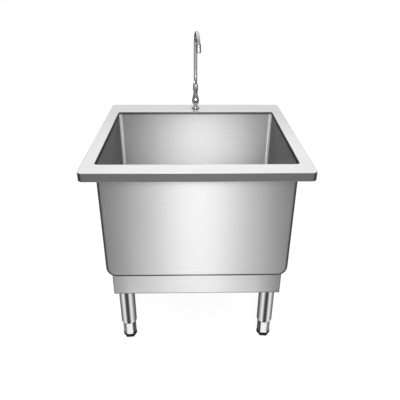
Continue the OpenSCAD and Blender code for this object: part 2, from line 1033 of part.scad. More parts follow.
module tap_cartridge() {
    color("white")
        at_tap()
            difference() {
                to_front(hub_z)
                    translate([0, 0, -cart_back + loose])
                        cylinder(r = cart_r, h = cart_back + cart_front - loose);
                to_front(hub_z)
                    translate([0, 0, cart_front - spindle_depth])
                        cylinder(r = spindle_r + fit, h = spindle_depth + over);
                translate([0, 0, hub_z - cart_r - over])
                    cylinder(r = flow_r, h = 2 * (cart_r + over));
            }
}

module cartridge_nut() {
    color(BRIGHT)
        at_tap()
            to_front(hub_z)
                ring(cart_front, cart_nut_t, boss_r, spindle_r + fit);
}

// Spindle, hub and upright blade in one piece. The blade's sides narrow towards its round tip.
module tap_lever() {
    spindle_back = cart_front - spindle_depth + loose;
    blade_front = hub_back + lever_t;
    color(BRIGHT)
        at_tap()
            to_front(hub_z) {
                translate([0, 0, spindle_back])
                    cylinder(r = spindle_r, h = hub_back + over - spindle_back);
                translate([0, 0, hub_back])
                    cylinder(r = hub_r, h = hub_t);
                translate([0, 0, hub_back])
                    rotate([0, 0, lever_lean])
                        linear_extrude(blade_front - hub_back)
                            blade_outline();
            }
}

module blade_outline() {
    tip_r = lever_tip_w / 2;
    tip = lever_len - tip_r;
    polygon([[-lever_root_w / 2, 0], [lever_root_w / 2, 0], [tip_r, tip], [-tip_r, tip]]);
    translate([0, tip])
        circle(tip_r);
}

module lever_screw_cap() {
    color(DARK)
        at_tap()
            to_front(hub_z)
                ring(hub_front, cap_t, cap_r, 0);
}

module spout_nut() {
    color(BRIGHT)
        at_tap()
            rotate_extrude()
                polygon([
                    [waist_r + fit, nut_low],
                    [spout_nut_r - nut_bevel / 2, nut_low],
                    [spout_nut_r, nut_low + nut_bevel],
                    [spout_nut_r, nut_top - 2 * nut_bevel],
                    [spout_r + fit + nut_bevel / 2, nut_top],
                    [spout_r + fit, nut_top],
                    [spout_r + fit, bead_room_top],
                    [waist_r + fit, bead_room_top]
                ]);
}

// Seals under the spout's bead, inside the nut
module spout_seals() {
    color(RUBBER)
        at_tap()
            for (i = [0:1]) {
                ring(throat_top + loose + i * (seal_t + loose), seal_t, seal_r, spout_r + loose);
            }
}

// Turns the spout's plane: its X runs from the riser to the nozzle
module spout_plane() {
    rotate([0, 0, spout_turn - 90])
        children();
}

// Riser, bend and the turned-down end that the nozzle screws on to
module spout_tube() {
    riser_low = throat_top - throat_depth + loose;
    color(BRIGHT)
        at_tap()
            spout_plane() {
                ring(riser_low, bend_z - riser_low, spout_r, spout_in_r);
                ring(bead_z, bead_h, bead_r, spout_r - spout_wall / 2);
                translate([bend_r, 0, bend_z])
                    mirror([1, 0, 0])
                        rotate([90, 0, 0])
                            rotate_extrude(angle = bend_turn)
                                translate([bend_r, 0])
                                    difference() {
                                        circle(spout_r);
                                        circle(spout_in_r);
                                    }
                at_bend_end()
                    ring(-over, nozzle_seat - loose + over, nozzle_thread_r, spout_in_r + spout_step);
            }
}

// The end of the bend, with Z pointing the way the water leaves
module at_bend_end() {
    translate([bend_r, 0, bend_z])
        rotate([90, 0, 0])
            rotate([0, 0, 180 - bend_turn])
                translate([bend_r, 0, 0])
                    rotate([90, 0, 0])
                        children();
}

// Nozzle levels run down from the end of the bend
module spout_nozzle() {
    color(BRIGHT)
        at_tap()
            spout_plane()
                at_bend_end()
                    rotate_extrude()
                        polygon([
                            [nozzle_thread_r + fit, 0],
                            [nozzle_r - nozzle_round, 0],
                            [nozzle_r, nozzle_round],
                            [nozzle_r, nozzle_len - nozzle_round],
                            [nozzle_r - nozzle_round / 2, nozzle_len],
                            [aerator_r - nozzle_lip / 2, nozzle_len],
                            [aerator_r - nozzle_lip / 2, nozzle_len - nozzle_lip],
                            [aerator_r + fit, nozzle_len - nozzle_lip],
                            [aerator_r + fit, nozzle_len - nozzle_lip - aerator_h - fit],
                            [spout_in_r, nozzle_len - nozzle_lip - aerator_h - fit],
                            [spout_in_r, nozzle_seat],
                            [nozzle_thread_r + fit, nozzle_seat]
                        ]);
}

module aerator_insert() {
    color(DARK)
        at_tap()
            spout_plane()
                at_bend_end()
                    translate([0, 0, nozzle_len - nozzle_lip - aerator_h])
                        linear_extrude(aerator_h)
                            difference() {
                                circle(aerator_r);
                                circle(aerator_hole_r);
                                for (i = [0:aerator_holes - 1]) {
                                    rotate([0, 0, i * 360 / aerator_holes])
                                        translate([aerator_ring_r, 0])
                                            circle(aerator_hole_r);
                                }
                            }
}

// Tap mounting

module tap_shank() {
    color(BRIGHT)
        at_tap()
            difference() {
                union() {
                    translate([0, 0, -shank_len])
                        cylinder(r = shank_r, h = shank_free_len);
                    translate([0, 0, -shank_len])
                        cylinder(r = shank_r - shank_groove, h = shank_len);
                    translate([0, 0, -shank_len + shank_free_len + shank_groove_w])
                        cylinder(r = shank_r, h = shank_len - shank_free_len - shank_groove_w + base_low);
                    cylinder(r = thread_r, h = neck_low + thread_len - fit);
                }
                translate([0, 0, -shank_len - over])
                    cylinder(r = water_r, h = shank_len + neck_low + thread_len + 2 * over);
            }
}

module backing_plate() {
    color(STEEL)
        translate([0, tap_y, backing_low_z])
            linear_extrude(backing_t)
                difference() {
                    rounded_rect(backing_w, backing_w, backing_corner_r);
                    circle(shank_hole_r);
                }
}

module shank_rubber_washer() {
    color(RUBBER)
        translate([0, tap_y, 0])
            ring(rubber_low_z, rubber_washer_t, washer_r, shank_hole_r);
}

module shank_steel_washer() {
    color(BRIGHT)
        translate([0, tap_y, 0])
            ring(steel_low_z, steel_washer_t, washer_r, shank_hole_r);
}

module shank_nut() {
    color(BRIGHT)
        translate([0, tap_y, shank_nut_low_z])
            difference() {
                turned_hexagon(shank_nut_h, shank_nut_af / sqrt(3), shank_nut_chamfer);
                translate([0, 0, -over])
                    cylinder(r = shank_r + fit, h = shank_nut_h + 2 * over);
            }
}

rim_deck();
tub();
base_frame();
corner_gussets();
bearer(-bearer_x);  // bearer_left
bearer(bearer_x);  // bearer_right
for (c = CORNERS) {
    leg_socket(c);
    leg_tube(c);
    foot_insert(c);
    foot(c);
    foot_pad(c);
}
socket_screws();
leg_set_screws();
strainer_body();
strainer_outlet();
strainer_gasket();
friction_ring();
strainer_locknut();
tailpiece();
tailpiece_washer();
tailpiece_nut();
strainer_basket();
basket_stopper();
basket_post();
tap_base_ring();
tap_base_gasket();
tap_body();
tap_grub_screws();
tap_cartridge();
cartridge_nut();
tap_lever();
lever_screw_cap();
spout_nut();
spout_tube();
spout_seals();
spout_nozzle();
aerator_insert();
tap_shank();
backing_plate();
shank_rubber_washer();
shank_steel_washer();
shank_nut();
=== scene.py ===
import math

import bmesh
import bpy
from mathutils import Matrix, Vector


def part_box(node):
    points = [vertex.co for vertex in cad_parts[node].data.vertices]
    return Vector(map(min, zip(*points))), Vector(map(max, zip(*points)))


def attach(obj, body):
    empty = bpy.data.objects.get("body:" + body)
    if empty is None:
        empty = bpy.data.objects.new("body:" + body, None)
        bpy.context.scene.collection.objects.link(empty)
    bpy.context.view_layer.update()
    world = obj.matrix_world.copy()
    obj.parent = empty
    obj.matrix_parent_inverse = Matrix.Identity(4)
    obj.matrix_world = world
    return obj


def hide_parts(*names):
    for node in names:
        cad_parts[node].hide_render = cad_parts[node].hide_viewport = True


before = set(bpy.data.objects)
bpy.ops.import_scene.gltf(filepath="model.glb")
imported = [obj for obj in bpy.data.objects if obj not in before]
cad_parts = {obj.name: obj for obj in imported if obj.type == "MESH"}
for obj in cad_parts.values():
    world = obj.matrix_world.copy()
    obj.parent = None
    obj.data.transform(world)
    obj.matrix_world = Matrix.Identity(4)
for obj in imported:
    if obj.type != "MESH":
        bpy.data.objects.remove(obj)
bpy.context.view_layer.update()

# Rim: one sheet of 1.2 mm stainless steel, its edges folded down into an apron and in again. A
# belt brushed the deck from left to right. The apron and the lip carry painted shade in their dark
# colour, as do the upright corners and the rear of the deck, and the outer walls at the sides and
# the back are painted lighter.

rim_colour = (0.86, 0.86, 0.863)
rim_roughness = 0.34
# Painted shade: the dark colour that every upright face of the rim, the apron and the lip, takes
apron_painted_shade_colour = (0.11, 0.11, 0.111)
apron_roughness = 0.6
fine_grit = 0.0011
broad_grit = 0.006
scratch_depth = 0.00004
sink_centre = (0.0, -0.017, 0.43)


def join_or_set(finish, socket, value):
    """Gives a socket a plain value, or joins it to what another step puts out."""
    if isinstance(value, bpy.types.NodeSocket):
        finish.node_tree.links.new(value, socket)
    else:
        socket.default_value = value


def finish_step(finish, kind, joined, **settings):
    """One step of a finish: a node, its inputs given as values or as another step's output."""
    step = finish.node_tree.nodes.new("ShaderNode" + kind)
    for name, value in settings.items():
        setattr(step, name, value)
    for name, value in joined.items():
        join_or_set(finish, step.inputs[name], value)
    return step


def give(finish, name, value):
    """Gives the finish's shader a value or a step's output, such as its colour or its roughness."""
    join_or_set(finish, finish.node_tree.nodes["Principled BSDF"].inputs[name], value)


def bare_finish(name, colour, roughness, metal=1.0):
    """A finish with its plain values set, still without grain or wear."""
    finish = bpy.data.materials.new(name)
    finish.use_nodes = True
    give(finish, "Base Color", (*colour, 1.0))
    give(finish, "Roughness", roughness)
    give(finish, "Metallic", metal)
    return finish


def place(finish):
    """Where a point lies in its piece's own frame."""
    return finish_step(finish, "TexCoord", {}).outputs["Object"]


def facing(finish):
    """Which way the surface faces."""
    return finish_step(finish, "NewGeometry", {}).outputs["Normal"]


def parts(finish, vector):
    """The X, Y and Z of a vector."""
    return finish_step(finish, "SeparateXYZ", {"Vector": vector}).outputs


def reckon(finish, operation, *values):
    """A sum, a product or the like of one or two values."""
    return finish_step(finish, "Math", dict(enumerate(values)), operation=operation).outputs[0]


def ramp(finish, value, start, end, low=0.0, high=1.0):
    """Runs from low to high while the value runs from start to end."""
    ends = {"From Min": start, "From Max": end, "To Min": low, "To Max": high}
    return finish_step(finish, "MapRange", {"Value": value, **ends}).outputs[0]


def blend(finish, factor, one, other, kind="RGBA", way="MIX"):
    """One value, vector or colour that gives way to another as the factor rises."""
    sockets = {"Factor": factor, "A": one, "B": other}
    return finish_step(finish, "Mix", sockets, data_type=kind, blend_type=way).outputs["Result"]


def all_of(finish, *masks):
    """Masks multiplied together: high only where each of them is."""
    product = masks[0]
    for mask in masks[1:]:
        product = reckon(finish, "MULTIPLY", product, mask)
    return product


def share_on(finish, mask, share):
    """The given share on a mask, and 1 off it."""
    return ramp(finish, mask, 0.0, 1.0, 1.0, share)


def stretched(finish, scale):
    """The place, scaled along X, Y and Z, so that a pattern on it is drawn out into lines."""
    return finish_step(finish, "Mapping", {"Vector": place(finish), "Scale": scale}).outputs[0]


def noise(finish, where, scale, detail):
    """A cloudy pattern of values about a half."""
    pattern = {"Vector": where, "Scale": scale, "Detail": detail}
    return finish_step(finish, "TexNoise", pattern).outputs["Fac"]


def tinted(finish, share):
    """Multiplies the finish's colour by a share that changes over the piece."""
    colour = finish.node_tree.nodes["Principled BSDF"].inputs["Base Color"].links[0].from_socket
    give(finish, "Base Color", blend(finish, 1.0, colour, share, way="MULTIPLY"))


def grooved(finish, height, strength, depth):
    """Fine relief after a pattern of heights, up to depth metres deep."""
    relief = finish_step(finish, "Bump", {"Height": height, "Strength": strength, "Distance": depth})
    give(finish, "Normal", relief.outputs[0])


def brushed_round(finish, axis, amount, turn=0.25):
    """Spreads reflections across brush lines that run round an axis, turned by a part of a circle."""
    run = finish_step(finish, "Tangent", {}, direction_type="RADIAL", axis=axis)
    give(finish, "Tangent", run.outputs[0])
    give(finish, "Anisotropic", amount)
    give(finish, "Anisotropic Rotation", turn)


def steepness(finish):
    """How upright the surface stands, from 0 on a level deck to 1 on a wall."""
    level = reckon(finish, "ABSOLUTE", parts(finish, facing(finish))["Z"])
    return ramp(finish, level, 0.9, 0.35)


def belt_lines(finish, grit):
    """Lines that a belt of that grit leaves along the sheet: along X, or along Y on a side wall."""
    along_x = stretched(finish, (4.0, 1 / grit, 1 / grit))
    along_y = stretched(finish, (1 / grit, 4.0, 1 / grit))
    sideways = reckon(finish, "ABSOLUTE", parts(finish, facing(finish))["X"])
    on_side = reckon(finish, "GREATER_THAN", sideways, 0.7)
    return noise(finish, blend(finish, on_side, along_x, along_y, "VECTOR"), 1.0, 3.0)


def brushed_sheet(name, colour, roughness, wall_colour, wall_roughness):
    """Brushed stainless sheet: a level and a wall colour, broken up by belt lines and faint clouds."""
    finish = bare_finish(name, colour, roughness)
    upright = steepness(finish)
    fine = belt_lines(finish, fine_grit)
    broad = belt_lines(finish, broad_grit)
    clouds = noise(finish, place(finish), 7.0, 2.0)
    worn = reckon(finish, "ADD", reckon(finish, "ADD", fine, broad), clouds)
    give(finish, "Base Color", blend(finish, upright, (*colour, 1.0), (*wall_colour, 1.0)))
    tinted(finish, ramp(finish, worn, 0.9, 2.1, 0.93, 1.04))
    dull = blend(finish, upright, roughness, wall_roughness, "FLOAT")
    uneven = ramp(finish, worn, 0.9, 2.1, -0.03, 0.04)
    give(finish, "Roughness", reckon(finish, "ADD", dull, uneven))
    grooved(finish, fine, 0.12, scratch_depth)
    return finish


def faces_inwards(finish):
    """1 on the inner side of the bowl and 0 on its outer side."""
    arm = finish_step(finish, "VectorMath", {0: place(finish), 1: sink_centre}, operation="SUBTRACT")
    sides = {0: arm.outputs[0], 1: facing(finish)}
    along = finish_step(finish, "VectorMath", sides, operation="DOT_PRODUCT")
    return reckon(finish, "LESS_THAN", along.outputs["Value"], 0.0)


def painted_light_walls(finish):
    """1 on the outer walls at the sides and the back: painted lighter on the rim and the tub, and given
    less metal on the tub and the base frame.
    """
    outside = share_on(finish, faces_inwards(finish), 0.0)
    not_front = ramp(finish, parts(finish, facing(finish))["Y"], -0.8, -0.5)
    return all_of(finish, outside, not_front)


def turned_corner(finish):
    """1 where a wall turns round an upright corner, 0 on the flat of it."""
    size = finish_step(finish, "VectorMath", {0: facing(finish)}, operation="ABSOLUTE")
    across = parts(finish, size.outputs[0])
    return ramp(finish, reckon(finish, "MINIMUM", across["X"], across["Y"]), 0.15, 0.4)


def dress(finish, *names):
    """Gives construction nodes their finish."""
    for name in names:
        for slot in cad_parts[name].material_slots:
            slot.material = finish


rim_finish = brushed_sheet("brushed_rim", rim_colour, rim_roughness, apron_painted_shade_colour, apron_roughness)
brushed_round(rim_finish, "X", 0.85, 0.0)
# Painted shade: the upright corners at 0.3 and the rear of the deck at 0.84. Painted light: the outer
# walls at the sides and the back, 2.3 times lighter.
rim_upright = steepness(rim_finish)
rim_painted_light = all_of(rim_finish, rim_upright, painted_light_walls(rim_finish))
rim_corner = all_of(rim_finish, rim_upright, turned_corner(rim_finish))
rim_rear = ramp(rim_finish, parts(rim_finish, place(rim_finish))["Y"], -0.1, 0.25)
for mask, share in ((rim_painted_light, 2.3), (rim_corner, 0.3), (rim_rear, 0.84)):
    tinted(rim_finish, share_on(rim_finish, mask, share))
give(rim_finish, "Metallic", share_on(rim_finish, rim_upright, 0.35))
dress(rim_finish, "rim_deck")

# Tub: a bent wrapper of side walls and floor, welded to a front and a back wall with rolled
# edges. The belt ran level round the walls, which draws the light into upright bands. Painted
# shade darkens the rolled edges and downward faces, the ends of the front wall, a strip under the
# lip, darkest on the side walls, and the inner side walls. Painted light brightens the inner back
# corners, the inner front wall and the outer side and back walls. The flat of the underside is
# lightened back again. The inner back wall is painted lighter towards its foot and its right, and
# darker at its top and its left.

tub_colour = (0.545, 0.545, 0.547)
tub_roughness = 0.53
back_lip_band = 0.0062
side_lip_band = 0.0105
lip_edge = 0.0005
back_painted_light_low = 0.43
back_painted_light_high = 0.62
ends_start = 0.18
tub_low, tub_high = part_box("tub")


def flatness(finish):
    """The largest part of the normal along X, Y or Z: 1 on a flat wall, less on a rolled edge."""
    size = finish_step(finish, "VectorMath", {0: facing(finish)}, operation="ABSOLUTE")
    across = parts(finish, size.outputs[0])
    level = reckon(finish, "MAXIMUM", across["X"], across["Y"])
    return reckon(finish, "MAXIMUM", level, across["Z"])


def shade_tub(finish):
    """Lays painted shade and painted light over the tub's brushed sheet: a share of the colour for each
    kind of place, and less metal where the walls are painted lighter.
    """
    normal = parts(finish, facing(finish))
    spot = parts(finish, place(finish))
    sideways = reckon(finish, "ABSOLUTE", normal["X"])
    flat = flatness(finish)
    inside = faces_inwards(finish)
    outside = share_on(finish, inside, 0.0)
    side = all_of(finish, ramp(finish, sideways, 0.9, 0.97), inside)
    back = all_of(finish, ramp(finish, normal["Y"], -0.8, -0.95), inside)
    front = all_of(finish, ramp(finish, normal["Y"], 0.8, 0.95), inside)
    turned = ramp(finish, sideways, 0.12, 0.3)
    corner = all_of(finish, ramp(finish, normal["Y"], -0.12, -0.3), inside, turned)
    low_bend = ramp(finish, normal["Z"], -0.02, -0.1)
    bend = reckon(finish, "MAXIMUM", ramp(finish, flat, 0.99, 0.93), low_bend)
    # The flat outer walls at the sides and the back, which are painted lighter
    dull = all_of(finish, painted_light_walls(finish), ramp(finish, flat, 0.93, 0.99))
    off_middle = ramp(finish, reckon(finish, "ABSOLUTE", spot["X"]), ends_start, 0.27)
    ends = all_of(finish, ramp(finish, normal["Y"], -0.8, -0.95), outside, off_middle)
    back_lip, side_lip = (
        all_of(finish, ramp(finish, spot["Z"], edge - lip_edge, edge + lip_edge), inside)
        for edge in (tub_high.z - back_lip_band, tub_high.z - side_lip_band)
    )
    # Painted light and shade on the inner back wall: lighter towards its foot and its right, darker at its
    # top and its left
    back_painted_light_and_shade = all_of(
        finish,
        ramp(finish, spot["Z"], back_painted_light_low, back_painted_light_high, 1.85, 0.79),
        ramp(finish, spot["X"], -0.2, 0.15, 0.88, 1.10),
    )
    colour_share = blend(finish, back, 1.0, back_painted_light_and_shade, "FLOAT")
    # Painted shade: inner side walls 0.44, outer bends 0.35, the strip under the lip 0.25 and on the side
    # walls 0.06 more, the ends of the front 0.78. Painted light: inner back corners 1.45, inner front wall
    # 1.7, outer side and back walls 1.3. The flat of the underside is 2.6 times lighter, which lifts back
    # the bends' shade.
    for mask, share in (
        (side, 0.44),
        (all_of(finish, bend, outside), 0.35),
        (back_lip, 0.25),
        (all_of(finish, side_lip, side), 0.06),
        (corner, 1.45),
        (front, 1.7),
        (dull, 1.3),
        (ends, 0.78),
        (all_of(finish, outside, ramp(finish, normal["Z"], -0.9, -0.97)), 2.6),
    ):
        colour_share = all_of(finish, colour_share, share_on(finish, mask, share))
    tinted(finish, colour_share)
    # Less metal where light is painted, so that those walls catch the even light
    metal_shares = ((corner, 0.25), (front, 0.1), (dull, 0.65))
    metal = all_of(finish, *[share_on(finish, mask, share) for mask, share in metal_shares])
    give(finish, "Metallic", metal)


tub_finish = brushed_sheet("brushed_tub", tub_colour, tub_roughness, tub_colour, tub_roughness)
brushed_round(tub_finish, "Z", 0.97)
shade_tub(tub_finish)
dress(tub_finish, "tub")

# Weld seams: the two seams of the tub run round the wrapper behind its rolled edges, and short
# stitches hold the base frame and its gussets. Bright beads of filler with fine ripples.

seam_half_width = 0.0013
seam_rise = 0.00035
seam_sides = 6
ripple_pitch = 0.0016
ripple_share = 0.2
bead_end_steps = 3
sharp_angle = 32
tub_floor_round = 0.030
tub_edge_round = 0.011
drain_seat_drop = 0.003
tub_floor = tub_low.z + drain_seat_drop
seam_top_gap = 0.002
step_along = ripple_pitch / 2


def make_piece(name, shapes, finish, body, stands_for=()):
    """Joins shapes of (points, faces) into one piece that rides on a body and takes its finish."""
    points = []
    faces = []
    for shape_points, shape_faces in shapes:
        start = len(points)
        points += shape_points
        faces += [[start + i for i in face] for face in shape_faces]
    mesh = bpy.data.meshes.new(name)
    mesh.from_pydata(points, [], faces)
    shells = bmesh.new()
    shells.from_mesh(mesh)
    bmesh.ops.recalc_face_normals(shells, faces=shells.faces)
    shells.to_mesh(mesh)
    shells.free()
    mesh.shade_smooth()
    mesh.set_sharp_from_angle(angle=math.radians(sharp_angle))
    mesh.materials.append(finish)
    piece = bpy.data.objects.new(name, mesh)
    bpy.context.scene.collection.objects.link(piece)
    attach(piece, body)
    if stands_for:
        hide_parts(*stands_for)


def skin_rings(rings):
    """Points and faces of a skin over rings of equally many points, with its ends capped."""
    count = len(rings[0])
    points = [p for ring in rings for p in ring]
    faces = []
    for i in range(len(rings) - 1):
        for j in range(count):
            k = (j + 1) % count
            faces.append([i * count + j, i * count + k, (i + 1) * count + k, (i + 1) * count + j])
    last = (len(rings) - 1) * count
    faces.append(list(range(count))[::-1])
    faces.append([last + j for j in range(count)])
    return points, faces


def mottled(finish, pattern, dark, light, start=0.0, end=1.0):
    """Colours a finish after a pattern: dark where it is at start, and light where it is at end."""
    colours = finish_step(finish, "ValToRGB", {"Fac": pattern})
    for stop, at, colour in zip(colours.color_ramp.elements, (start, end), (dark, light)):
        stop.position = at
        stop.color = (*colour, 1.0)
    give(finish, "Base Color", colours.outputs["Color"])


def weld_bead(path, outward, half_width=seam_half_width, rise=seam_rise):
    """A rippled bead along a path of points. It swells towards outward: one vector, or one per point."""
    rings = []
    run = 0.0
    for i, at in enumerate(path):
        before = path[max(i - 1, 0)]
        after = path[min(i + 1, len(path) - 1)]
        ahead = (after - before).normalized()
        up = outward[i] if isinstance(outward, list) else outward
        across = ahead.cross(up).normalized()
        run += (at - before).length
        ripple = 1 - ripple_share + ripple_share * abs(math.sin(math.pi * run / ripple_pitch))
        ending = min(1.0, (i + 1) / bead_end_steps, (len(path) - i) / bead_end_steps)
        ring = []
        for j in range(seam_sides * 2):
            turn = math.pi * j / seam_sides
            side = math.cos(turn) * half_width * ending
            swell = math.sin(turn) * rise * ripple * ending
            ring.append(at + across * side + up * swell)
        rings.append(ring)
    return skin_rings(rings)


def straight(start, end):
    """Points from start to end, close enough together for the ripples."""
    count = max(2, round((end - start).length / step_along))
    return [start.lerp(end, i / count) for i in range(count + 1)]


def wrapper_side(y, side):
    """A side wall of the wrapper at y, from under the rim down and round to the floor, and its way out."""
    wall = side * (tub_high.x - tub_low.x) / 2
    corner_z = tub_floor + tub_floor_round
    path = straight(Vector((wall, y, tub_high.z - seam_top_gap)), Vector((wall, y, corner_z)))
    outward = [Vector((side, 0, 0)) for _ in path]
    round_steps = round(tub_floor_round * math.pi / 2 / step_along)
    for i in range(1, round_steps):
        turn = math.pi / 2 * i / round_steps
        away = Vector((side * math.cos(turn), 0, -math.sin(turn)))
        path.append(Vector((wall - side * tub_floor_round, y, corner_z)) + away * tub_floor_round)
        outward.append(away)
    return path, outward


def wrapper_section(y):
    """The outside of the wrapper at y, down one side, along the floor and up again, and its way out."""
    left, left_out = wrapper_side(y, -1)
    right, right_out = wrapper_side(y, 1)
    half = (tub_high.x - tub_low.x) / 2 - tub_floor_round
    low = straight(Vector((-half, y, tub_floor)), Vector((half, y, tub_floor)))
    low_out = [Vector((0, 0, -1)) for _ in low]
    return left + low + right[::-1], left_out + low_out + right_out[::-1]


weld_finish = bare_finish("weld_filler", (0.62, 0.61, 0.60), 0.34)
weld_heat = noise(weld_finish, place(weld_finish), 120.0, 2.0)
mottled(weld_finish, weld_heat, (0.42, 0.40, 0.38), (0.72, 0.71, 0.70))
tub_seams = [
    weld_bead(*wrapper_section(y))
    for y in (tub_low.y + tub_edge_round, tub_high.y - tub_edge_round)
]
make_piece("tub_seams", tub_seams, weld_finish, "root")

# Base frame: four walls folded from 1.5 mm stainless sheet, with a flange under the tub and a
# hem at the foot. Gussets close its corners and two channels carry the floor. Stitch welds
# hold the frame to the tub and the gussets to the frame. Painted shade darkens the hem, the
# frame's ends and its upright corners.

frame_colour = (0.64, 0.64, 0.643)
frame_roughness = 0.5
hem_high = 0.003
hem_edge = 0.0006
frame_shift = 0.015
frame_ends_start = 0.19
frame_ends_stop = 0.265
stitch_length = 0.024
stitch_half_width = 0.0022
stitch_rise = 0.0011
stitch_places = (-0.18, -0.06, 0.06, 0.18)
gusset_reach = 0.068
frame_low, frame_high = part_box("base_frame")
gusset_low, gusset_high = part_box("corner_gussets")

frame_finish = brushed_sheet("brushed_frame", frame_colour, frame_roughness, frame_colour, frame_roughness)
brushed_round(frame_finish, "Z", 0.9)
frame_spot = parts(frame_finish, place(frame_finish))
hem_top = frame_low.z + hem_high
frame_hem = ramp(frame_finish, frame_spot["Z"], hem_top, hem_top - hem_edge)
frame_across = reckon(frame_finish, "ADD", frame_spot["X"], frame_shift)
frame_off_middle = reckon(frame_finish, "ABSOLUTE", frame_across)
frame_ends = ramp(frame_finish, frame_off_middle, frame_ends_start, frame_ends_stop)
frame_corner = all_of(frame_finish, steepness(frame_finish), turned_corner(frame_finish))
# Painted shade: the hem at 0.4, the ends of the walls at 0.55, their middle 15 mm left of the frame's, and
# the upright corners at 0.45
for mask, share in ((frame_hem, 0.4), (frame_ends, 0.55), (frame_corner, 0.45)):
    tinted(frame_finish, share_on(frame_finish, mask, share))
give(frame_finish, "Metallic", share_on(frame_finish, painted_light_walls(frame_finish), 0.65))
dress(frame_finish, "base_frame", "corner_gussets", "bearer_left", "bearer_right")


def stitch(start, along, outward):
    """One short fillet weld from start."""
    path = straight(start, start + Vector(along) * stitch_length)
    return weld_bead(path, Vector(outward).normalized(), stitch_half_width, stitch_rise)


stitches = []
for x in stitch_places:
    for y, side in ((frame_low.y, -1), (frame_high.y, 1)):
        start = Vector((x - stitch_length / 2, y, tub_floor))
        stitches.append(stitch(start, (1, 0, 0), (0, side, -1)))
for side in (-1, 1):
    for end in (-1, 1):
        corner_x = gusset_high.x if side > 0 else gusset_low.x
        corner_y = gusset_high.y if end > 0 else gusset_low.y
        start = Vector((corner_x - side * gusset_reach, corner_y, gusset_low.z))
        stitches.append(stitch(start, (-side, 0, 0), (0, -end, -1)))
        start = Vector((corner_x, corner_y - end * gusset_reach, gusset_low.z))
        stitches.append(stitch(start, (0, -end, 0), (-side, 0, -1)))
make_piece("frame_stitches", stitches, weld_finish, "root")

# Leg sockets: cast iron cups under dark hammer paint, each held up to its gusset by four zinc
# plated M6 screws, and on its leg by an M8 set screw through a boss on the inner corner.

leg_places = ("fl", "fr", "bl", "br")
screw_head_across = 0.0097
screw_head_high = 0.004
screw_cone = 0.84
screw_cone_high = 0.86
screw_washer_high = 0.0008
screw_washer_lip = 0.0002
screw_xy = 0.025
socket_plate_thick = 0.004
plate_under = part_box("leg_socket_fl")[1].z - socket_plate_thick


def painted_casting(name, colour, roughness, lump):
    """Paint over a rough casting: small lumps that the paint rounds off, and a dusty bloom."""
    finish = bare_finish(name, colour, roughness, 0.0)
    grooved(finish, noise(finish, place(finish), 1 / lump, 4.0), 0.5, lump * 0.12)
    dusty = [c * 1.5 + 0.01 for c in colour]
    mottled(finish, noise(finish, place(finish), 25.0, 3.0), colour, dusty, 0.35, 0.75)
    return finish


def plated_steel(name, colour, roughness, mottle):
    """Plated or turned metal: fine specks, mottle metres across, in its colour, gloss and skin."""
    finish = bare_finish(name, colour, roughness)
    cloud = noise(finish, place(finish), 1 / mottle, 3.0)
    mottled(finish, cloud, [c * 0.88 for c in colour], colour, 0.3, 0.7)
    give(finish, "Roughness", ramp(finish, cloud, 0.3, 0.7, roughness + 0.05, roughness - 0.02))
    grooved(finish, cloud, 0.08, mottle * 0.02)
    return finish


def turn_up(outline, cut=None, facets=96):
    """Turns an outline of (radius, height) about Z: closed on itself, or with both ends on the axis.
    cut(radius, angle, height) may give another radius for a point, as a thread or a hexagon does."""
    points = []
    rows = []
    for radius, height in outline:
        if radius == 0:
            rows.append([len(points)] * facets)
            points.append(Vector((0, 0, height)))
            continue
        row = []
        for j in range(facets):
            angle = 2 * math.pi * j / facets
            r = cut(radius, angle, height) if cut else radius
            row.append(len(points))
            points.append(Vector((r * math.cos(angle), r * math.sin(angle), height)))
        rows.append(row)
    if outline[0][0] > 0:
        rows.append(rows[0])
    faces = []
    for low, high in zip(rows, rows[1:]):
        for j in range(facets):
            k = (j + 1) % facets
            face = [low[j], low[k], high[k], high[j]]
            faces.append(list(dict.fromkeys(face)))
    return points, faces


def placed(shape, matrix):
    """The shape moved by a matrix."""
    points, faces = shape
    return [matrix @ p for p in points], faces


def hexagon_radius(across_flats, angle):
    """Distance from the axis to the side of a hexagon with a corner on +X."""
    off = (angle + math.pi / 6) % (math.pi / 3) - math.pi / 6
    return across_flats / 2 / math.cos(math.pi / 6 - abs(off))


def screw_head():
    """Hexagon head with a round flange, its free end down and turned to a cone at the rim."""
    corner = screw_head_across / math.sqrt(3)
    outline = [
        (0, -screw_head_high), (corner * screw_cone, -screw_head_high),
        (corner, -screw_head_high * screw_cone_high), (corner, -screw_washer_high),
        (corner + screw_washer_lip, -screw_washer_high), (corner + screw_washer_lip, 0), (0, 0),
    ]

    def cut(radius, angle, height):
        on_head = height < -screw_washer_high * 1.1
        return min(radius, hexagon_radius(screw_head_across, angle)) if on_head else radius

    return turn_up(outline, cut, facets=48)


def leg_axis(at):
    """Where the leg stands, from its tube."""
    low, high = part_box(f"leg_tube_{at}")
    return (low + high) / 2


socket_paint = painted_casting("hammer_paint", (0.055, 0.058, 0.062), 0.42, 0.0022)
zinc_finish = plated_steel("zinc_plate", (0.66, 0.67, 0.66), 0.3, 0.003)
set_screw_finish = plated_steel("blackened_steel", (0.10, 0.10, 0.105), 0.42, 0.002)
dress(socket_paint, *[f"leg_socket_{at}" for at in leg_places])
dress(set_screw_finish, "leg_set_screws")

screw_heads = []
for at in leg_places:
    axis = leg_axis(at)
    for x in (axis.x - screw_xy, axis.x + screw_xy):
        for y in (axis.y - screw_xy, axis.y + screw_xy):
            screw_heads.append(placed(screw_head(), Matrix.Translation((x, y, plate_under))))
make_piece("socket_screw_heads", screw_heads, zinc_finish, "root", ("socket_screws",))

# Leg tubes: round stainless tube, 48 mm across, polished by belts that ran round it, so that fine
# rings are left. A zinc plated insert with an M16 thread is pressed into the lower end.

tube_colour = (0.80, 0.80, 0.81)
tube_roughness = 0.13
tube_ring = 0.0007
tube_ring_depth = 0.00002


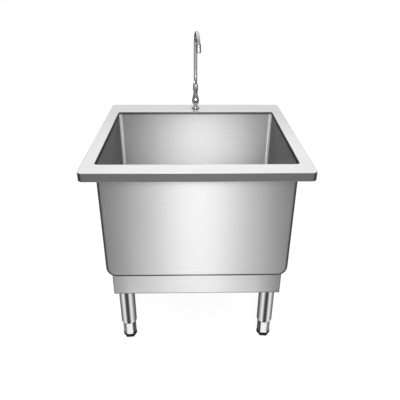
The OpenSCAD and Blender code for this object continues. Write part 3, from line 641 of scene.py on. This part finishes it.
def ringed_metal(name, colour, roughness, ring, depth):
    """Turned or belt polished metal: rings that vary its colour and gloss, over faint clouds."""
    finish = bare_finish(name, colour, roughness)
    rings = noise(finish, stretched(finish, (6.0, 6.0, 1 / ring)), 1.0, 2.0)
    worn = reckon(finish, "ADD", rings, noise(finish, place(finish), 30.0, 2.0))
    bright = [min(1.0, c * 1.03) for c in colour]
    mottled(finish, rings, [c * 0.93 for c in colour], bright, 0.25, 0.7)
    give(finish, "Roughness", ramp(finish, worn, 0.6, 1.4, roughness * 0.85, roughness * 1.2))
    grooved(finish, rings, 0.1, depth)
    return finish


tube_finish = ringed_metal("polished_tube", tube_colour, tube_roughness, tube_ring, tube_ring_depth)
brushed_round(tube_finish, "Z", 0.5)
dress(tube_finish, *[f"leg_tube_{at}" for at in leg_places])
dress(zinc_finish, *[f"foot_insert_{at}" for at in leg_places])

# Levelling feet: hexagon bar of stainless steel with its corners turned off at both ends, an M16
# stem cut on top, and a short spigot below that turns in the rubber pad.

foot_across = 0.036
foot_corner_broken = 0.00025
foot_corner = foot_across / math.sqrt(3) - foot_corner_broken
foot_turned_off = 0.0016
foot_slope = 0.0008
foot_hexagon_high = 0.0518
foot_turn = 5.5
stem_radius = 0.008
stem_root = 0.0005
stem_point = 0.0015
stem_point_in = 0.0012
stem_pitch = 0.002
stem_depth = 0.0011
stem_steps = 190
stem_thread_gap = 0.001
spigot_radius = 0.007
spigot_length = 0.006
foot_box_low, foot_box_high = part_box("foot_fl")
foot_low = foot_box_low.z + spigot_length
foot_top = foot_low + foot_hexagon_high


def about(axis, degrees):
    """A turn about an axis."""
    return Matrix.Rotation(math.radians(degrees), 4, axis)


def foot_place(at):
    """Where a foot and its pad stand, turned a little as they were left when the sink was set level."""
    axis = leg_axis(at)
    return Matrix.Translation((axis.x, axis.y, 0)) @ about("Z", -math.copysign(foot_turn, axis.x))


def between(start, end, count):
    """Points of an outline from start up to, but not at, end."""
    (r0, z0), (r1, z1) = start, end
    return [(r0 + (r1 - r0) * i / count, z0 + (z1 - z0) * i / count) for i in range(count)]


def thread_cut(pitch, depth, low, high, least):
    """A cut for turn_up: a thread from low to high on radii above least, run out at its ends."""

    def cut(radius, angle, height):
        if radius < least or not low <= height <= high:
            return radius
        turn = (height / pitch - angle / (2 * math.pi)) % 1.0
        run_out = min(1.0, (height - low) / pitch, (high - height) / pitch)
        return radius - depth * abs(2 * turn - 1) * run_out

    return cut


def foot_hexagon():
    """The hexagon and its spigot, from below."""
    outline = [(0, foot_box_low.z), (spigot_radius, foot_box_low.z), (spigot_radius, foot_low)]
    inner = foot_corner - foot_turned_off
    side_low = foot_low + foot_slope
    side_high = foot_top - foot_slope
    outline += between((inner, foot_low), (foot_corner, side_low), 6)
    outline += between((foot_corner, side_low), (foot_corner, side_high), 4)
    outline += between((foot_corner, side_high), (inner, foot_top), 6)
    outline += [(inner, foot_top), (0, foot_top)]

    def cut(radius, angle, height):
        return min(radius, hexagon_radius(foot_across, angle)) if radius > spigot_radius else radius

    return turn_up(outline, cut)


def foot_stem():
    """The threaded stem on top of the hexagon."""
    top = foot_box_high.z
    low = foot_top - stem_root
    outline = [(0, low)]
    tip_radius = stem_radius - stem_point_in
    outline += between((stem_radius, low), (stem_radius, top - stem_point), stem_steps)
    outline += [(stem_radius, top - stem_point), (tip_radius, top), (0, top)]
    cut = thread_cut(stem_pitch, stem_depth, foot_top + stem_thread_gap, top, tip_radius)
    return turn_up(outline, cut, facets=48)


bar_finish = ringed_metal("satin_bar", (0.62, 0.62, 0.63), 0.5, 0.0009, 0.00003)
brushed_round(bar_finish, "Z", 0.97)
for at in leg_places:
    shapes = [placed(foot_hexagon(), foot_place(at)), placed(foot_stem(), foot_place(at))]
    make_piece(f"levelling_foot_{at}", shapes, bar_finish, f"foot_{at}", (f"foot_{at}",))

# Rubber pads: black rubber moulded to the foot's hexagon, with a groove round the side and a
# socket for the spigot.

pad_across = 0.0375
pad_corner = pad_across / math.sqrt(3)
pad_high = 0.013
pad_socket = 0.00705
pad_socket_low = 0.0069
# How far in from the side, and how high: the rounded lower edge, the groove and the upper edge
pad_foot = [(0.0015, 0.0), (0.0007, 0.0003), (0.0002, 0.0009), (0.0, 0.0015)]
pad_groove = [(0.0, 0.0052), (0.0009, 0.0057), (0.0009, 0.0073), (0.0, 0.0078)]
pad_lip = [(0.0, 0.0121), (0.0003, 0.0127), (0.0009, pad_high)]


def pad_shape():
    """A pad with rounded edges, its socket open at the top."""
    outline = [(0, 0)]
    outline += [(pad_corner - inset, height) for inset, height in pad_foot + pad_groove + pad_lip]
    outline += [(pad_socket, pad_high), (pad_socket, pad_socket_low), (0, pad_socket_low)]

    def cut(radius, angle, height):
        side = hexagon_radius(pad_across, angle) - (pad_corner - radius)
        return side if radius > pad_socket + 0.001 else radius

    return turn_up(outline, cut)


rubber_finish = bare_finish("black_rubber", (0.01, 0.01, 0.0105), 0.65, 0.0)
rubber_bloom = noise(rubber_finish, place(rubber_finish), 60.0, 3.0)
mottled(rubber_finish, rubber_bloom, (0.006, 0.006, 0.0065), (0.014, 0.0137, 0.0133), 0.4, 0.8)
grooved(rubber_finish, noise(rubber_finish, place(rubber_finish), 900.0, 2.0), 0.3, 0.0002)
give(rubber_finish, "Specular IOR Level", 0.25)
for at in leg_places:
    shapes = [placed(pad_shape(), foot_place(at))]
    make_piece(f"rubber_pad_{at}", shapes, rubber_finish, f"pad_{at}", (f"foot_pad_{at}",))

# Drain: a spun stainless cup with a threaded wall hangs by its flange in the pressed seat of the
# tub. Below the floor a rubber gasket, a fibre ring and a cast lock nut clamp it. The outlet is
# brazed in, and a rubber washer and a slip nut hold the chromed tailpiece to it.

drain_low, drain_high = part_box("strainer_body")
drain_at = Matrix.Translation((0, (drain_low.y + drain_high.y) / 2, 0))
flange_radius = 0.057
flange_thick = 0.0016
flange_under = drain_high.z - flange_thick
# How far in from the flange's side, and how high over its underside
flange_side = [(0.0004, 0.0), (0.0, 0.0005), (0.0002, 0.0011), (0.0012, flange_thick)]
cup_radius = 0.045
cup_edge = 0.0006
cup_wall = 0.0015
cup_inner = cup_radius - cup_wall
cup_floor = drain_low.z + cup_wall
# How far in from the cup's inner wall, and how deep under its mouth or how high over its floor
cup_mouth = [(-0.0012, 0.0), (-0.0003, 0.0004), (0.0, 0.0014)]
cup_bend = [(0.0, 0.002), (0.0006, 0.0005), (0.002, 0.0)]
cup_thread_low = drain_low.z + 0.002
cup_thread_high = drain_low.z + 0.034
cup_pitch = 0.002
cup_steps = 128
outlet_radius = 0.024
outlet_edge = 0.0008
outlet_inner = 0.018
outlet_pitch = 0.0018
outlet_steps = 66
outlet_thread_gap = 0.001
drain_thread_depth = 0.0007


def strainer_cup():
    """Flange, threaded wall and floor of the cup, closed on itself."""
    low = drain_low.z
    least = cup_radius - cup_edge
    outline = [(outlet_inner, low), (least, low), (cup_radius, low + cup_edge)]
    outline += between((cup_radius, cup_thread_low), (cup_radius, cup_thread_high), cup_steps)
    outline += [(cup_radius, cup_thread_high), (cup_radius, flange_under)]
    outline += [(flange_radius - inset, flange_under + height) for inset, height in flange_side]
    outline += [(cup_inner - inset, drain_high.z - depth) for inset, depth in cup_mouth]
    outline += [(cup_inner - inset, cup_floor + height) for inset, height in cup_bend]
    outline.append((outlet_inner, cup_floor))
    cut = thread_cut(cup_pitch, drain_thread_depth, cup_thread_low, cup_thread_high, least)
    return turn_up(outline, cut)


def strainer_neck():
    """The threaded outlet, closed on itself."""
    low, high = (corner.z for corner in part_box("strainer_outlet"))
    least = outlet_radius - outlet_edge
    thread_low = low + outlet_thread_gap
    thread_high = high - outlet_thread_gap
    outline = [(outlet_inner, low), (least, low), (outlet_radius, low + outlet_edge)]
    outline += between((outlet_radius, thread_low), (outlet_radius, thread_high), outlet_steps)
    outline += [(outlet_radius, thread_high), (outlet_radius, high), (outlet_inner, high)]
    cut = thread_cut(outlet_pitch, drain_thread_depth, thread_low, thread_high, least)
    return turn_up(outline, cut, facets=72)


satin_finish = ringed_metal("satin_steel", (0.72, 0.72, 0.73), 0.3, 0.0008, 0.00003)
drain_cup = placed(strainer_cup(), drain_at)
make_piece("drain_cup", [drain_cup], satin_finish, "root", ("strainer_body",))
drain_outlet = placed(strainer_neck(), drain_at)
make_piece("drain_outlet", [drain_outlet], satin_finish, "root", ("strainer_outlet",))
dress(rubber_finish, "strainer_gasket", "tailpiece_washer")

fibre_finish = bare_finish("pressed_fibre", (0.50, 0.38, 0.25), 0.8, 0.0)
fibre_hairs = noise(fibre_finish, stretched(fibre_finish, (300.0, 1200.0, 600.0)), 1.0, 4.0)
mottled(fibre_finish, fibre_hairs, (0.36, 0.26, 0.16), (0.58, 0.46, 0.31), 0.35, 0.65)
dress(fibre_finish, "friction_ring")

casting_finish = plated_steel("zinc_casting", (0.52, 0.52, 0.53), 0.46, 0.0018)
dress(casting_finish, "strainer_locknut")

chrome_colour = (0.64, 0.64, 0.65)
chrome_roughness = 0.07


def worn_chrome(name):
    """Chrome over buffed brass: water marks that dull it a little, and the faint waves of buffing."""
    finish = bare_finish(name, chrome_colour, chrome_roughness)
    marks = noise(finish, place(finish), 90.0, 4.0)
    give(finish, "Roughness", ramp(finish, marks, 0.45, 0.75, chrome_roughness, chrome_roughness + 0.07))
    mottled(finish, marks, chrome_colour, [c * 0.93 for c in chrome_colour], 0.3, 0.8)
    grooved(finish, noise(finish, place(finish), 160.0, 1.0), 0.05, 0.0002)
    return finish


chrome_finish = worn_chrome("polished_chrome")
dress(chrome_finish, "tailpiece", "tailpiece_nut")

# Basket strainer: pressed stainless basket on a turned post, with a rubber stopper that closes the
# outlet when the knob is pushed down.

dress(satin_finish, "strainer_basket", "basket_post")
dress(rubber_finish, "basket_stopper")

# Tap body: brass, turned to a smooth bulb on a slim neck, with a short boss in front for the
# cartridge, then buffed and chromed. It stands on a turned ring over a thin rubber gasket. The
# tap's shapes are drawn in millimetres above the rim, or in front of the tap's axis.

millimetre = 0.001
tap_low, tap_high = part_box("tap_base_gasket")
tap_foot = ((tap_low.x + tap_high.x) / 2, (tap_low.y + tap_high.y) / 2, tap_low.z)
tap_at = Matrix.Translation(tap_foot) @ Matrix.Scale(millimetre, 4)
hub_height = 30.6
ring_low = 1.0
ring_radius = 14.0
ring_round = 1.7
ring_dark_high = 2.7
ring_dark_edge = 0.6
neck_low = 4.0
neck_high = 13.0
neck_radius = 6.25
bulb_radius = 12.25
bulb_share = 0.3
bulb_tall = 44.0
bulb_low_steps = 24
bulb_high_steps = 56
waist_radius = 7.3
throat_high = 72.0
throat_edge = 0.4
spout_bore = 6.05
spout_bore_low = 60.0
shank_bore = 4.95
shank_bore_high = 14.0
water_bore = 3.5
boss_back = 3.0
boss_front = 12.0
boss_radius = 8.6
boss_bore = 7.05
boss_edge = 0.4
hub_at = tap_at @ Matrix.Translation((0, 0, hub_height)) @ about("X", 90)


def base_ring():
    """The ring under the neck, its upper edge rounded over."""
    low_edge = 0.3
    outline = [(shank_bore, ring_low), (ring_radius - low_edge, ring_low)]
    outline.append((ring_radius, ring_low + low_edge))
    for i in range(9):
        turn = math.pi / 2 * i / 8
        inset = ring_round * (1 - math.cos(turn))
        outline.append((ring_radius - inset, neck_low - ring_round * (1 - math.sin(turn))))
    outline.append((shank_bore, neck_low))
    return turn_up(outline)


def bulb_line():
    """The body's outline from the neck, quickly out to the bulb, and slowly in to the waist."""
    line = []
    for i in range(bulb_low_steps + 1):
        turn = math.pi / 2 * i / bulb_low_steps
        radius = neck_radius + (bulb_radius - neck_radius) * math.sin(turn)
        line.append((radius, neck_high + bulb_tall * bulb_share * (1 - math.cos(turn))))
    for i in range(1, bulb_high_steps + 1):
        share = i / bulb_high_steps
        swell = (1 + math.cos(math.pi * share)) / 2
        radius = waist_radius + (bulb_radius - waist_radius) * swell
        line.append((radius, neck_high + bulb_tall * (bulb_share + (1 - bulb_share) * share)))
    return line


def body_shell():
    """The turned body with its bores."""
    outline = [(shank_bore, neck_low), (neck_radius, neck_low)]
    outline += bulb_line()
    outline += [(waist_radius, throat_high - throat_edge), (waist_radius - throat_edge, throat_high)]
    outline += [(spout_bore, throat_high), (spout_bore, spout_bore_low), (water_bore, spout_bore_low)]
    outline += [(water_bore, shank_bore_high), (shank_bore, shank_bore_high)]
    return turn_up(outline)


def cartridge_boss():
    """The boss round the cartridge, run back into the bulb."""
    outline = [(boss_bore, boss_back), (boss_radius, boss_back), (boss_radius, boss_front - boss_edge)]
    outline += [(boss_radius - boss_edge, boss_front), (boss_bore, boss_front)]
    return turn_up(outline, facets=72)


# Painted shade: the ring's colour drops to a tenth over its low side, where it meets the gasket and the
# deck
ring_finish = worn_chrome("ring_chrome_painted_shade")
ring_dark_top = tap_low.z + ring_dark_high * millimetre
ring_height = parts(ring_finish, place(ring_finish))["Z"]
ring_bright_low = ring_dark_top + ring_dark_edge * millimetre
tinted(ring_finish, ramp(ring_finish, ring_height, ring_dark_top, ring_bright_low, 0.1, 1.0))
tap_ring = placed(base_ring(), tap_at)
make_piece("tap_foot_ring", [tap_ring], ring_finish, "root", ("tap_base_ring",))
tap_column = [placed(body_shell(), tap_at), placed(cartridge_boss(), hub_at)]
make_piece("tap_column", tap_column, chrome_finish, "root", ("tap_body",))
dress(rubber_finish, "tap_base_gasket")
dress(set_screw_finish, "tap_grub_screws")

# Cartridge and lever: a ceramic cartridge in a white plastic case, held by a ring nut. The lever,
# cast in one with its hub, is buffed and chromed, and a dark cap hides its screw.

lever_long = 69.0
lever_root_half = 5.0
lever_tip_half = 3.0
lever_back = 15.7
lever_front = 19.2
lever_lean = 4.0
lever_squareness = 0.55
lever_stations = 30
lever_tip_stations = 8
lever_sides = 32
tip_blunt = 0.03
tip_thinned = 0.8
spindle_radius = 3.0
spindle_low = 9.3
spindle_edge = 0.3
hub_front = 21.7
# Radius and distance of the hub's side, with its rounded edges
hub_side = [(7.7, lever_back), (8.3, 15.95), (8.5, 16.5), (8.5, 20.5), (8.38, 21.0), (8.05, 21.4)]


def lever_hub():
    """Spindle and hub."""
    outline = [(0, spindle_low), (spindle_radius - spindle_edge, spindle_low)]
    outline += [(spindle_radius, spindle_low + spindle_edge), (spindle_radius, lever_back)]
    outline += hub_side + [(7.5, hub_front), (0, hub_front)]
    return turn_up(outline, facets=72)


def lever_blade():
    """The blade: a flat bar with rounded edges that narrows to a round tip."""
    middle = (lever_back + lever_front) / 2
    half_thick = (lever_front - lever_back) / 2
    shaft_end = lever_long - lever_tip_half
    stations = [shaft_end * i / lever_stations for i in range(lever_stations + 1)]
    for i in range(1, lever_tip_stations + 1):
        stations.append(shaft_end + lever_tip_half * math.sin(math.pi / 2 * i / lever_tip_stations))
    rings = []
    for along in stations:
        half = lever_root_half + (lever_tip_half - lever_root_half) * min(1.0, along / shaft_end)
        thick = half_thick
        if along > shaft_end:
            past = (along - shaft_end) / lever_tip_half
            half *= math.sqrt(max(0.0, 1 - past * past)) * (1 - tip_blunt) + tip_blunt
            thick *= math.sqrt(max(0.0, 1 - (past * tip_thinned) ** 2))
        ring = []
        for j in range(lever_sides):
            turn = 2 * math.pi * j / lever_sides
            across = math.copysign(abs(math.cos(turn)) ** lever_squareness, math.cos(turn)) * half
            out = math.copysign(abs(math.sin(turn)) ** lever_squareness, math.sin(turn)) * thick
            ring.append(Vector((across, along, middle + out)))
        rings.append(ring)
    return skin_rings(rings)


plastic_finish = bare_finish("white_plastic", (0.82, 0.82, 0.80), 0.4, 0.0)
plastic_cloud = noise(plastic_finish, place(plastic_finish), 220.0, 2.0)
mottled(plastic_finish, plastic_cloud, (0.76, 0.76, 0.73), (0.86, 0.86, 0.84))
dress(plastic_finish, "tap_cartridge")
dress(chrome_finish, "cartridge_nut")
dress(set_screw_finish, "lever_screw_cap")
tap_handle = [placed(lever_hub(), hub_at), placed(lever_blade(), hub_at @ about("Z", lever_lean))]
make_piece("tap_handle", tap_handle, chrome_finish, "lever", ("tap_lever",))

# Spout: thin chromed tube, bent to a gooseneck, with a bead that turns between the seals under its
# nut. The nozzle screws on at the end and holds a plastic aerator behind its lip.

nut_low = 64.0
nut_high = 87.0
nut_radius = 8.9
nut_gap = 0.05
bead_room = 77.6
# How far in from the nut's side, and how high: its lower edge, its groove and its shoulder
nut_foot = [(0.7, nut_low), (0.15, nut_low + 0.5), (0.0, nut_low + 1.2)]
nut_groove = [(0.0, 67.4), (0.35, 67.7), (0.35, 68.1), (0.0, 68.4)]
nut_shoulder = [(0.0, 81.0), (0.3, 82.2), (0.75, 83.4), (1.3, 84.6), (1.8, 85.6), (2.2, 86.4),
                (2.5, 86.85)]
bend_height = 218.0
bend_radius = 40.0
bend_turn = 160.0
spout_turn = 6.0
nozzle_radius = 7.8
nozzle_long = 29.0
nozzle_bore = 5.9
nozzle_stop = 10.0
nozzle_waist = 5.0
aerator_bore = 6.35
aerator_deep = 7.55
nozzle_lip = 1.5
nozzle_mouth = 5.55
# How far in from the nozzle's side, and how far along it: its edges and its groove
nozzle_root = [(1.6, 0.0), (0.9, 0.25), (0.3, 0.8), (0.0, 1.6)]
nozzle_groove = [(0.0, 3.6), (0.3, 3.9), (0.3, 4.3), (0.0, 4.6)]
nozzle_tip = [(0.0, 27.3), (0.2, 28.2), (0.6, 28.8), (1.0, nozzle_long)]


def nut_shell():
    """The spout's nut with its groove and a rounded shoulder, and the room for the tube's bead."""
    outline = [(waist_radius + nut_gap, nut_low)]
    outline += [(nut_radius - inset, height) for inset, height in nut_foot + nut_groove + nut_shoulder]
    outline += [(spout_bore + 0.1, nut_high), (spout_bore, nut_high)]
    outline += [(spout_bore, bead_room), (waist_radius + nut_gap, bead_room)]
    return turn_up(outline)


def nozzle_shell():
    """The nozzle, from the end of the bend outwards, with its bores and the lip before the aerator."""
    lip = nozzle_long - nozzle_lip
    seat = nozzle_long - aerator_deep
    outside = nozzle_root + nozzle_groove + nozzle_tip
    outline = [(nozzle_bore, 0)]
    outline += [(nozzle_radius - inset, along) for inset, along in outside]
    outline += [(nozzle_mouth + 0.05, nozzle_long), (nozzle_mouth, nozzle_long - 0.2)]
    outline += [(nozzle_mouth, lip), (aerator_bore, lip), (aerator_bore, seat), (nozzle_waist, seat)]
    outline += [(nozzle_waist, nozzle_stop), (nozzle_bore, nozzle_stop)]
    return turn_up(outline)


bend_end = (
    tap_at
    @ about("Z", spout_turn - 90)
    @ Matrix.Translation((bend_radius, 0, bend_height))
    @ about("X", 90)
    @ about("Z", 180 - bend_turn)
    @ Matrix.Translation((bend_radius, 0, 0))
    @ about("X", 90)
)
dress(chrome_finish, "spout_tube")
dress(rubber_finish, "spout_seals")
dress(plastic_finish, "aerator_insert")
spout_collar = placed(nut_shell(), tap_at)
make_piece("spout_collar", [spout_collar], chrome_finish, "root", ("spout_nut",))
spout_mouth = placed(nozzle_shell(), bend_end)
make_piece("spout_mouth", [spout_mouth], chrome_finish, "spout", ("spout_nozzle",))

# Tap shank: brass pipe with a 3/8 inch thread, screwed up into the tap's neck through the deck.
# Below, a steel plate, a rubber washer, a steel washer and a hexagon nut pull it tight.

shank_low = -50.0
shank_radius = 8.33
shank_point = 0.8
shank_point_in = 1.0
shank_thread_top = -4.0
shank_thread_depth = 0.85
shank_pitch = 1.337
shank_steps = 250
shank_neck = [(4.9, ring_low), (4.9, 13.6), (4.6, 13.95), (water_bore, 13.95)]


def shank_shell():
    """The threaded pipe, and the slim neck on it that goes up into the body."""
    thread_low = shank_low + shank_point
    least = shank_radius - shank_point_in
    outline = [(water_bore, shank_low), (least, shank_low)]
    outline += between((shank_radius, thread_low), (shank_radius, shank_thread_top), shank_steps)
    outline += [(shank_radius, shank_thread_top), (shank_radius, ring_low)]
    outline += shank_neck
    cut = thread_cut(shank_pitch, shank_thread_depth, thread_low, shank_thread_top, least)
    return turn_up(outline, cut, facets=72)


brass_finish = plated_steel("turned_brass", (0.72, 0.62, 0.42), 0.28, 0.004)
tap_pipe = placed(shank_shell(), tap_at)
make_piece("tap_pipe", [tap_pipe], brass_finish, "root", ("tap_shank",))
dress(zinc_finish, "backing_plate", "shank_steel_washer", "shank_nut")
dress(rubber_finish, "shank_rubber_washer")

# Studio: a white sweep for the floor, seen only from above, under an even white sky. Polished
# metal sees the studio's dark walls beside the camera, its white cloths further round, and one
# that hangs behind the sink and over it.

floor_radius = 4.0
floor_sides = 128
white = (1.0, 1.0, 1.0, 1.0)
# Degrees round from the front, and the grey of the studio's walls there
wall_bands = [(0, 0.07), (180, 0.05), (15, 0.07), (25, 0.3), (35, 0.65), (46, 0.97), (60, 0.97),
              (78, 0.6), (98, 0.3), (115, 0.18), (140, 0.09)]
# The same for the strip of studio between the near floor and the top of the walls
far_bands = [(0, 0.95), (180, 0.05), (35, 0.85), (55, 0.5), (75, 0.12), (120, 0.05)]
# Height of a direction's tip, and the grey of the cloth that hangs behind the sink and over it
cloth_bands = [(0.0, 0.04), (1.0, 0.36), (0.14, 0.06), (0.29, 0.17), (0.42, 1.24), (0.62, 0.82)]
cloth_strength = 1.4


def one_or_other(finish, share, one, other):
    """One shader, or the other where the share is 1."""
    return finish_step(finish, "MixShader", {0: share, 1: one, 2: other}).outputs[0]


floor_mesh = bpy.data.meshes.new("studio_floor")
floor_turns = [2 * math.pi * i / floor_sides for i in range(floor_sides)]
floor_edge = [(floor_radius * math.cos(turn), floor_radius * math.sin(turn), 0) for turn in floor_turns]
floor_mesh.from_pydata(floor_edge, [], [list(range(floor_sides))])
floor = bpy.data.objects.new("studio_floor", floor_mesh)
bpy.context.scene.collection.objects.link(floor)

sweep = bpy.data.materials.new("white_sweep")
sweep.use_nodes = True
sweep.node_tree.nodes.clear()
sweep_ray = finish_step(sweep, "LightPath", {}).outputs
sweep_paint = finish_step(sweep, "BsdfDiffuse", {"Color": (0.82, 0.82, 0.82, 1.0)}).outputs[0]
sweep_shadow = finish_step(sweep, "BsdfDiffuse", {"Color": (0.20, 0.20, 0.20, 1.0)}).outputs[0]
sweep_glow = finish_step(sweep, "Emission", {"Color": white, "Strength": 0.86}).outputs[0]
sweep_seen = finish_step(sweep, "AddShader", {0: sweep_shadow, 1: sweep_glow}).outputs[0]
sweep_clear = finish_step(sweep, "BsdfTransparent", {}).outputs[0]
sweep_below = finish_step(sweep, "NewGeometry", {}).outputs["Backfacing"]
sweep_hidden = reckon(sweep, "MAXIMUM", sweep_ray["Is Glossy Ray"], sweep_below)
sweep_white = one_or_other(sweep, sweep_ray["Is Camera Ray"], sweep_paint, sweep_seen)
sweep_all = one_or_other(sweep, sweep_hidden, sweep_white, sweep_clear)
finish_step(sweep, "OutputMaterial", {"Surface": sweep_all})
floor_mesh.materials.append(sweep)

sky = bpy.data.worlds.new("studio_sky")
bpy.context.scene.world = sky
sky.use_nodes = True
sky.node_tree.nodes.clear()
sky_ray = finish_step(sky, "LightPath", {}).outputs
sky_way = parts(sky, finish_step(sky, "TexCoord", {}).outputs["Generated"])
sky_height = sky_way["Z"]
sky_angle = reckon(sky, "ARCTAN2", sky_way["X"], reckon(sky, "MULTIPLY", sky_way["Y"], -1.0))
sky_round = reckon(sky, "DIVIDE", reckon(sky, "ABSOLUTE", sky_angle), math.pi)


def sky_bands(source, stops, full=1):
    """Soft bands of grey along a value that runs from 0 to 1. The stops run from 0 to full."""
    bands = finish_step(sky, "ValToRGB", {"Fac": source})
    scale = bands.color_ramp
    scale.interpolation = "EASE"
    for i, (at, grey) in enumerate(stops):
        stop = scale.elements[i] if i < 2 else scale.elements.new(at / full)
        stop.position = at / full
        stop.color = (grey, grey, grey, 1.0)
    return bands.outputs["Color"]


sky_sill = ramp(sky, sky_height, -0.27, -0.14, 1.0, 0.4)
sky_pane = ramp(sky, sky_height, 0.0, 0.12, 0.0, 0.8)
sky_strip = all_of(
    sky,
    ramp(sky, sky_height, -0.35, -0.3),
    ramp(sky, sky_height, 0.38, 0.5, 1.0, 0.35),
    reckon(sky, "MAXIMUM", sky_sill, sky_pane),
)
sky_near = sky_bands(sky_round, wall_bands, 180)
sky_far = sky_bands(sky_round, far_bands, 180)
sky_walls = blend(sky, sky_strip, sky_near, sky_far)
sky_cloth = finish_step(
    sky, "VectorMath", {0: sky_bands(sky_height, cloth_bands), "Scale": cloth_strength}, operation="SCALE"
).outputs[0]
sky_behind = all_of(sky, ramp(sky, sky_round, 85 / 180, 120 / 180), ramp(sky, sky_height, -0.06, 0.03))
sky_hung = reckon(sky, "MAXIMUM", sky_behind, ramp(sky, sky_height, 0.75, 0.95))
sky_mirrored = blend(sky, sky_hung, sky_walls, sky_cloth)
sky_even = finish_step(sky, "Background", {"Color": white, "Strength": 0.85}).outputs[0]
sky_mirror = finish_step(sky, "Background", {"Color": sky_mirrored, "Strength": 1.0}).outputs[0]
sky_white = finish_step(sky, "Background", {"Color": white, "Strength": 1.0}).outputs[0]
sky_met = one_or_other(sky, sky_ray["Is Glossy Ray"], sky_even, sky_mirror)
sky_all = one_or_other(sky, sky_ray["Is Camera Ray"], sky_met, sky_white)
finish_step(sky, "OutputWorld", {"Surface": sky_all})


def softbox(name, stand, aim, wide, high, power):
    """A lamp behind a white cloth, turned towards aim."""
    lamp = bpy.data.lights.new(name, "AREA")
    lamp.shape = "RECTANGLE"
    lamp.size = wide
    lamp.size_y = high
    lamp.energy = power
    box = bpy.data.objects.new(name, lamp)
    away = Vector(stand) - Vector(aim)
    box.matrix_world = Matrix.Translation(stand) @ away.to_track_quat("Z", "Y").to_matrix().to_4x4()
    bpy.context.scene.collection.objects.link(box)


softbox("front_strip", (0.05, -3.2, 1.7), (0.0, 0.0, 0.45), 0.6, 1.9, 59.0)
softbox("top_cloth", (0.0, 0.2, 3.2), (0.0, 0.0, 0.6), 2.4, 2.4, 8.0)

# Camera: at the photograph's viewing angle, a little left of the middle and above the rim. Its
# place and turn were worked out from the corners of the rim, the tub, the frame and the feet.

camera_place = (-0.016278, -1.300069, 1.086718)
camera_pitch = math.radians(28.082)
camera_yaw = math.radians(1.259)
camera_roll = math.radians(0.335)
camera_lens = 40.14
camera_sensor = 36.0
look = Vector(
    (
        math.sin(camera_yaw) * math.cos(camera_pitch),
        math.cos(camera_yaw) * math.cos(camera_pitch),
        -math.sin(camera_pitch),
    )
)
level = Vector((math.cos(camera_yaw), -math.sin(camera_yaw), 0.0))
upward = level.cross(look)
right = math.cos(camera_roll) * level + math.sin(camera_roll) * upward
top = -math.sin(camera_roll) * level + math.cos(camera_roll) * upward
lens = bpy.data.cameras.new("camera")
lens.lens = camera_lens
lens.sensor_width = camera_sensor
lens.clip_start = 0.01
lens.clip_end = 100.0
camera = bpy.data.objects.new("camera", lens)
camera.matrix_world = Matrix.Translation(camera_place) @ Matrix((right, top, -look)).transposed().to_4x4()
bpy.context.scene.collection.objects.link(camera)
bpy.context.scene.camera = camera
bpy.context.scene.view_settings.view_transform = "Standard"
